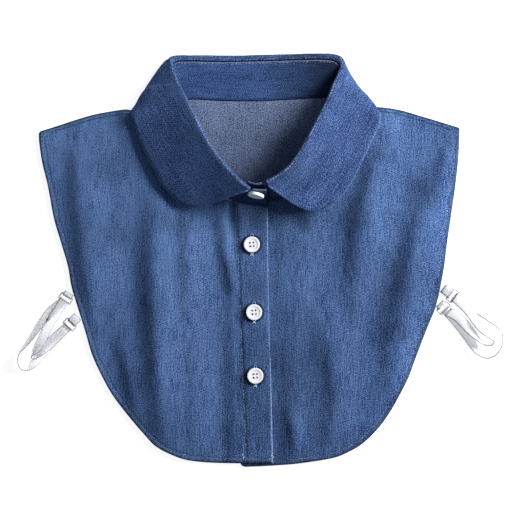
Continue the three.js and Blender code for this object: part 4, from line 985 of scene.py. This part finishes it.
def leaf_line(row, steps=20):
    """One section of the leaf, from inside the fold, round it and down to the outer edge."""
    fold, into, across, radius, to_seam = fold_frame(row)
    centre = fold + into * radius
    start = centre - across * radius
    line = [start + to_seam * FOLD_FLAP * k / 3 for k in (3, 2, 1)]
    for degrees in range(-90, 61, 15):
        a = math.radians(degrees)
        line.append(centre - into * radius * math.cos(a) + across * radius * math.sin(a))
    start, mid, edge = line[-1], row[6:9], row[9:12]
    raised = smooth_step((edge[2] - 5) / 4)
    outward = unit((edge - mid) * [1, 1, 0]) * smooth_step(np.hypot(*(edge - mid)[:2]) / 16)
    edge = edge + raised * (outward * LEAF_SPREAD[int(edge[0] > 0)] + [0, 0, LEAF_EDGE_LIFT])
    before, after = 2 * start - mid, 2 * edge - mid
    points = [before, start, mid, edge, after]
    for s in (1, 2):
        a, b, c, d = points[s - 1 : s + 3]
        line += [between(a, b, c, d, k / (steps // 2)) for k in range(1, steps // 2 + 1)]
    return line


fine_leaf = [leaf_line(row) for row in fine_collar]
leaf = soft_sheet(
    "collar_leaf_turned", fine_leaf, LEAF_CLOTH, hem_ends=(False, True, False, False), floor=0.0, crumple=0.3
)
# Denim little washed: deeper blue than the bib, with a thin pale outer edge, partly from wear and partly a
# painted highlight, two rows of stitches near its fold, and painted shade in three spots.
leaf_denim = denim(
    "leaf_denim", "182a52", "5876a9", "93a9cc", streak=0.6, fade=(0, -0.07), edge_rub_and_highlight=0.5,
    stitched=[(0, 0.9), (0, 4.3)],
    painted_shade=[(1, 238, 8, 16, 0.4), (1, 256, 9, 18, 0.55), (12, 385, 16, 24, 0.3)],
)
leaf.data.materials.append(leaf_denim)
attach(leaf, "root")
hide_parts("collar_leaf")

# Buttons: white 20 line shirt buttons of polished resin, dished inside a raised rim, with four holes.
# They are sewn to the right front with white thread and come through the buttonholes of the left.
BUTTON_RADIUS = 6.35
BUTTON_HEIGHT = 2.4
BUTTON_RIM = 1.5
BUTTON_DISH = 0.3
HOLE_RADIUS = 0.75
HOLE_OFF = 1.4

# Cast polyester, turned and polished: a faintly cloudy white with a soft gloss.
resin, tree, output = new_material("polished_white_resin")
place = add_node(tree, "TexCoord").outputs["Object"]
cloudy = add_node(tree, "TexNoise", {"Vector": place, "Scale": 260.0, "Detail": 2.0})
tint = add_node(
    tree, "Mix", {"Factor": cloudy.outputs["Fac"], "A": linear("dfdfe6"), "B": linear("f4f4f7")},
    data_type="RGBA",
)
shader = add_node(
    tree, "BsdfPrincipled",
    {"Base Color": tint, "Roughness": 0.28},
)
tree.links.new(shader.outputs["BSDF"], output.inputs["Surface"])


def model_button(name):
    """A button at the origin, its underside at z = 0, in metres."""
    bpy.ops.object.select_all(action="DESELECT")
    bpy.ops.mesh.primitive_cylinder_add(
        vertices=64, radius=BUTTON_RADIUS * mm, depth=BUTTON_HEIGHT * mm,
        location=(0, 0, BUTTON_HEIGHT / 2 * mm),
    )
    button = bpy.context.object
    button.name = name
    bpy.ops.object.transform_apply(location=True, rotation=True, scale=True)
    bpy.ops.object.mode_set(mode="EDIT")
    bpy.ops.mesh.select_mode(type="FACE")
    bpy.ops.mesh.select_all(action="DESELECT")
    edit = bmesh.from_edit_mesh(button.data)
    for face in edit.faces:
        face.select = face.normal.z > 0.9
    bmesh.update_edit_mesh(button.data)
    bpy.ops.mesh.inset(thickness=BUTTON_RIM * mm, depth=0)
    bpy.ops.mesh.inset(thickness=0.5 * mm, depth=-BUTTON_DISH * mm)
    bpy.ops.object.mode_set(mode="OBJECT")
    bevel = button.modifiers.new("round", "BEVEL")
    bevel.width = 0.45 * mm
    bevel.segments = 3
    bevel.limit_method = "ANGLE"
    bevel.angle_limit = math.radians(25)
    bpy.context.view_layer.objects.active = button
    bpy.ops.object.modifier_apply(modifier="round")
    for dx in (-1, 1):
        for dy in (-1, 1):
            bpy.ops.object.select_all(action="DESELECT")
            bpy.ops.mesh.primitive_cylinder_add(
                vertices=20, radius=HOLE_RADIUS * mm, depth=8 * mm,
                location=(dx * HOLE_OFF * mm, dy * HOLE_OFF * mm, 0),
            )
            drill = bpy.context.object
            cut = button.modifiers.new("hole", "BOOLEAN")
            cut.operation = "DIFFERENCE"
            cut.object = drill
            bpy.context.view_layer.objects.active = button
            bpy.ops.object.modifier_apply(modifier="hole")
            bpy.data.objects.remove(drill)
    bpy.ops.object.select_all(action="DESELECT")
    button.select_set(True)
    bpy.context.view_layer.objects.active = button
    bpy.ops.object.shade_smooth_by_angle(angle=math.radians(40))
    return button


def model_thread(name):
    """The sewing thread of a button: two bars, each across a pair of its holes."""
    parts = []
    for dy in (-1, 1):
        bpy.ops.object.select_all(action="DESELECT")
        bpy.ops.mesh.primitive_uv_sphere_add(
            segments=16, ring_count=10, radius=1,
            location=(0, dy * HOLE_OFF * mm, (BUTTON_HEIGHT - BUTTON_DISH) * mm),
        )
        bar = bpy.context.object
        bar.scale = (HOLE_OFF * 0.62 * mm, 0.3 * mm, 0.26 * mm)
        bpy.ops.object.transform_apply(location=True, rotation=True, scale=True)
        parts.append(bar)
    bpy.ops.object.select_all(action="DESELECT")
    for part in parts:
        part.select_set(True)
    bpy.context.view_layer.objects.active = parts[0]
    bpy.ops.object.join()
    thread = bpy.context.object
    thread.name = name
    bpy.ops.object.shade_smooth()
    return thread


first_button = model_button("button_model")
first_thread = model_thread("thread_model")


def place_copy(source, name, matrix):
    """A copy of a modelled piece with its own mesh, moved into place."""
    mesh = source.data.copy()
    mesh.transform(matrix)
    return link_mesh(name, mesh)


def sew_on(node, matrix):
    """One button with its thread at its place, in the stead of the CAD's button."""
    button = place_copy(first_button, node + "_resin", matrix)
    button.data.materials.append(resin)
    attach(button, "root")
    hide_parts(node)
    thread = place_copy(first_thread, node + "_thread", matrix)
    thread.data.materials.append(white_thread)
    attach(thread, "root")


for node, (x, y) in FRONT_BUTTONS.items():
    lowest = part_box(node)[0].z
    matrix = Matrix.Translation(((x + FOOTPRINT_SHIFT[0]) * mm, (y + FOOTPRINT_SHIFT[1]) * mm, lowest))
    sew_on(node, matrix @ Matrix.Rotation(math.radians(4), 4, "Z"))

# The collar button leans with the front of the stand and a little further, and is turned towards the
# wearer's right. It stands slightly clear of the cloth.
COLLAR_BUTTON_TURN = -12
COLLAR_BUTTON_LEAN = 10
COLLAR_BUTTON_CLEAR = 0.2
low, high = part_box("collar_button")
end_line = stand_line(np.array(COLLAR_ROWS[1], float))
slope = unit(end_line[-1] - end_line[0])
outward = unit(np.array([0, slope[2], -slope[1]]))
outward = outward if outward[2] > 0 else -outward
outward = Matrix.Rotation(math.radians(COLLAR_BUTTON_LEAN), 3, "X") @ Vector(outward)
outward = Matrix.Rotation(math.radians(COLLAR_BUTTON_TURN), 3, "Z") @ outward
lean = outward.rotation_difference(Vector((0, 0, 1))).inverted().to_matrix().to_4x4()
centre = (low + high) / 2 - outward * (BUTTON_HEIGHT / 2 - COLLAR_BUTTON_CLEAR) * mm
sew_on("collar_button", Matrix.Translation(centre) @ lean)
bpy.data.objects.remove(first_button)
bpy.data.objects.remove(first_thread)

# Straps: 8 mm white woven elastic, doubled through two plastic rings on each side and held to the front
# and back bib by short folded tabs of the same elastic.
# Fine ribs run along the elastic.
ELASTIC_THICK = 1.0
ELASTIC_WIDTH = 8.0
RING_WIDTH = 11.6
RING_LENGTH = 6.4
RING_BAR = 1.2
RING_HEIGHT = 2.0
BAR_OFFSET = RING_LENGTH / 2 - RING_BAR / 2
BAND_CLEAR = 0.3
TAB_PLY_GAP = 1.3
# Each ring has its place, the bearing of its width and the length of its tab; sign is the side its strap
# leaves on. Columns of the outer and inner band: x, y, z, bearing and tilt of the width; mm and degrees.
STRAPS = {
    "left": {
        "sign": 1,
        "back": {"at": (-152.8, -51.2), "bearing": -43.8, "tab": 6.3},
        "front": {"at": (-156, -30.2), "bearing": -33, "tab": 2.6},
        "outer": [
            (-160.8, -59, 0.6, -43, 0), (-168.8, -67.4, 0.7, -42, 0), (-176, -75.6, 1.2, -42, 8),
            (-182.6, -83.6, 3.2, -42, 45), (-187.6, -87.6, 4.8, -40, 80), (-192.4, -85.4, 5.2, -38, 90),
            (-194, -78.8, 5.2, -38, 90), (-192.4, -73, 5, -36, 80), (-189.2, -69, 4.8, -36, 70),
            (-183.2, -61.2, 4.4, -36, 58), (-174.4, -48.4, 3.2, -35, 38), (-167, -39.8, 1.6, -34, 10),
        ],
        "inner": [
            (-163.4, -41.8, 3.9, -34, 0), (-168.2, -49.4, 4.4, -35, 0), (-173.6, -60.4, 4.8, -36, 8),
            (-178.4, -69.4, 5.4, -37, 30), (-182, -74.6, 6.4, -38, 70), (-183.2, -77.2, 6.6, -38, 88),
            (-181, -78.4, 6.6, -40, 88), (-177.4, -75.2, 6.2, -42, 60), (-170.4, -68, 3.9, -42, 15),
            (-163.4, -60.8, 3.3, -43, 0),
        ],
    },
    "right": {
        "sign": -1,
        "back": {"at": (146, -37.8), "bearing": 225, "tab": 2.3},
        "front": {"at": (153.2, -28), "bearing": 232, "tab": 7.2},
        "outer": [
            (152.2, -44.2, 0.6, 226, 0), (158.4, -51.6, 0.7, 226, 0), (165.6, -61.2, 1.2, 226, 8),
            (171.2, -70.4, 3.2, 226, 45), (175.2, -75.6, 4.8, 226, 80), (181.2, -78, 5.2, 226, 90),
            (186.8, -75.8, 5.2, 227, 90), (190.8, -71.2, 5.2, 228, 90), (192.6, -65.2, 5.2, 228, 90),
            (192.6, -58.8, 5.1, 229, 85), (189.8, -52.8, 4.8, 230, 72), (183.4, -46.2, 3.4, 231, 38),
            (174.4, -39.6, 1.6, 232, 10), (165, -34.8, 0.8, 232, 0),
        ],
        "inner": [
            (163.6, -37.6, 3.9, 231, 0), (169.4, -45, 4.8, 230, 8), (175.2, -53.6, 5.6, 229, 40),
            (181.6, -60.6, 6.4, 228, 75), (185.8, -64.6, 6.6, 228, 90), (183.4, -67.6, 6.6, 227, 90),
            (178, -66.8, 6.6, 226, 85), (172.4, -61.6, 6.4, 226, 60), (165.2, -53.6, 4, 226, 15),
            (157.6, -45.6, 3.3, 225, 0),
        ],
    },
}

# Polyester yarn woven over rubber: dull white, ribbed every 0.9 mm, letting some light through, with
# painted shade as a grey line along each edge.
elastic, tree, output = new_material("white_woven_elastic")
weave = add_node(tree, "UVMap", uv_map="weave")
ribs = add_node(
    tree, "TexWave", {"Vector": weave, "Scale": 36.0, "Distortion": 0.6}, bands_direction="X"
)
fuzz = add_node(tree, "TexNoise", {"Vector": weave, "Scale": 90.0, "Detail": 2.0})
tone = add_node(
    tree, "Math", {0: ribs.outputs["Fac"], 1: 0.55, 2: fuzz.outputs["Fac"]}, operation="MULTIPLY_ADD"
)
seam = add_node(tree, "UVMap", uv_map="seam")
from_edge = add_node(tree, "SeparateXYZ", {"Vector": seam}).outputs["Y"]
grey_edge_shade = add_node(
    tree, "MapRange",
    {"Value": from_edge, "From Min": 0.003, "From Max": 0.010, "To Min": 0.95, "To Max": 0.0},
)
tint = add_node(
    tree, "Mix", {"Factor": tone, "A": linear("cacad0"), "B": linear("e8e8ec")},
    data_type="RGBA", clamp_factor=True,
)
tint = add_node(tree, "Mix", {"Factor": grey_edge_shade, "A": tint, "B": linear("62626a")}, data_type="RGBA")
bump = add_node(tree, "Bump", {"Height": tone, "Strength": 0.4, "Distance": 0.0003})
shader = add_node(
    tree, "BsdfPrincipled",
    {
        "Base Color": tint, "Roughness": 0.75, "Normal": bump,
        "Subsurface Weight": 0.8, "Subsurface Radius": (1.0, 1.0, 1.0), "Subsurface Scale": 0.006,
    },
)
tree.links.new(shader.outputs["BSDF"], output.inputs["Surface"])

# Moulded nylon: milky, half see-through, with a bright gloss.
clear_plastic, tree, output = new_material("milky_clear_plastic")
place = add_node(tree, "TexCoord").outputs["Object"]
cloudy = add_node(tree, "TexNoise", {"Vector": place, "Scale": 220.0, "Detail": 2.0})
tint = add_node(
    tree, "Mix", {"Factor": cloudy.outputs["Fac"], "A": linear("c8c8ce"), "B": linear("e6e6ea")},
    data_type="RGBA",
)
shader = add_node(
    tree, "BsdfPrincipled",
    {"Base Color": tint, "Roughness": 0.15, "Transmission Weight": 0.35},
)
tree.links.new(shader.outputs["BSDF"], output.inputs["Surface"])


def band_side(bearing, tilt):
    """The direction of a band's width."""
    b, t = math.radians(bearing), math.radians(tilt)
    return np.array([math.cos(b) * math.cos(t), math.sin(b) * math.cos(t), math.sin(t)])


def ring_turn(ring, toward, lower_first):
    """Rows of a half turn round the bar of a ring: middle point and width direction."""
    bar = np.array(ring["at"]) + np.array(toward) * BAR_OFFSET
    radius = RING_BAR / 2 + BAND_CLEAR + ELASTIC_THICK / 2
    rows = []
    for degrees in range(-90, 91, 15):
        a = math.radians(degrees if lower_first else -degrees)
        in_plan = bar - np.array(toward) * radius * math.cos(a)
        rows.append([*in_plan, RING_HEIGHT + radius * math.sin(a), *band_side(ring["bearing"], 0)])
    return rows


def free_band(rows):
    """Rows of a free stretch of band: middle point and width direction."""
    return [[x, y, z, *band_side(bearing, tilt)] for x, y, z, bearing, tilt in rows]


def elastic_band(name, path):
    """A band of elastic along rows of middle point and width direction, drawn out finely."""
    rows = []
    for row in fine_rows(path, 4):
        at, side = row[:3], unit(row[3:6])
        rows.append([at + side * ELASTIC_WIDTH * (k / 6 - 0.5) for k in range(7)])
    band = soft_sheet(name, rows, ELASTIC_THICK, floor=0.0)
    band.data.materials.append(elastic)
    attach(band, "root")
    return band


def model_ring(name, ring):
    """A rectangular ring of rounded bar, lying flat with its width along its bearing."""
    made = flat_loop(name, RING_WIDTH - RING_BAR, RING_LENGTH - RING_BAR, 0.9, RING_BAR)
    x, y = np.array(ring["at"]) + FOOTPRINT_SHIFT
    place = Vector((x, y, RING_HEIGHT)) * mm
    made.data.transform(Matrix.Translation(place) @ Matrix.Rotation(math.radians(ring["bearing"]), 4, "Z"))
    made.data.materials.append(clear_plastic)
    return made


for side, strap in STRAPS.items():
    toward = {}
    for end in ("front", "back"):
        b = math.radians(strap[end]["bearing"])
        toward[end] = np.array([math.sin(b), -math.cos(b)]) * strap["sign"]
    # The band starts round the back ring, goes out and through the front ring, and comes back to lie on the
    # back ring's outer bar.
    back = strap["back"]
    finish = np.array(back["at"]) + toward["back"] * (BAR_OFFSET + 1.6)
    path = ring_turn(back, toward["back"], False) + free_band(strap["outer"])
    path += ring_turn(strap["front"], toward["front"], True) + free_band(strap["inner"])
    path.append([*finish, RING_HEIGHT + 1.4, *band_side(back["bearing"], 0)])
    band = elastic_band(side + "_elastic_strap", path)
    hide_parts(side + "_strap")
    for end, tab_height in (("front", 2.2), ("back", 1.9)):
        ring = strap[end]
        made = model_ring(f"{side}_{end}_plastic_ring", ring)
        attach(made, "root")
        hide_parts(f"{side}_{end}_ring")
        inward = -toward[end]
        sewn_end = np.array(ring["at"]) + inward * (BAR_OFFSET + ring["tab"])
        lower, upper = (
            [*sewn_end, tab_height + off, *band_side(ring["bearing"], 0)]
            for off in (-TAB_PLY_GAP / 2, TAB_PLY_GAP / 2)
        )
        tab = elastic_band(f"{side}_{end}_elastic_tab", [lower] + ring_turn(ring, inward, True) + [upper])
        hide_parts(f"{side}_{end}_tab")
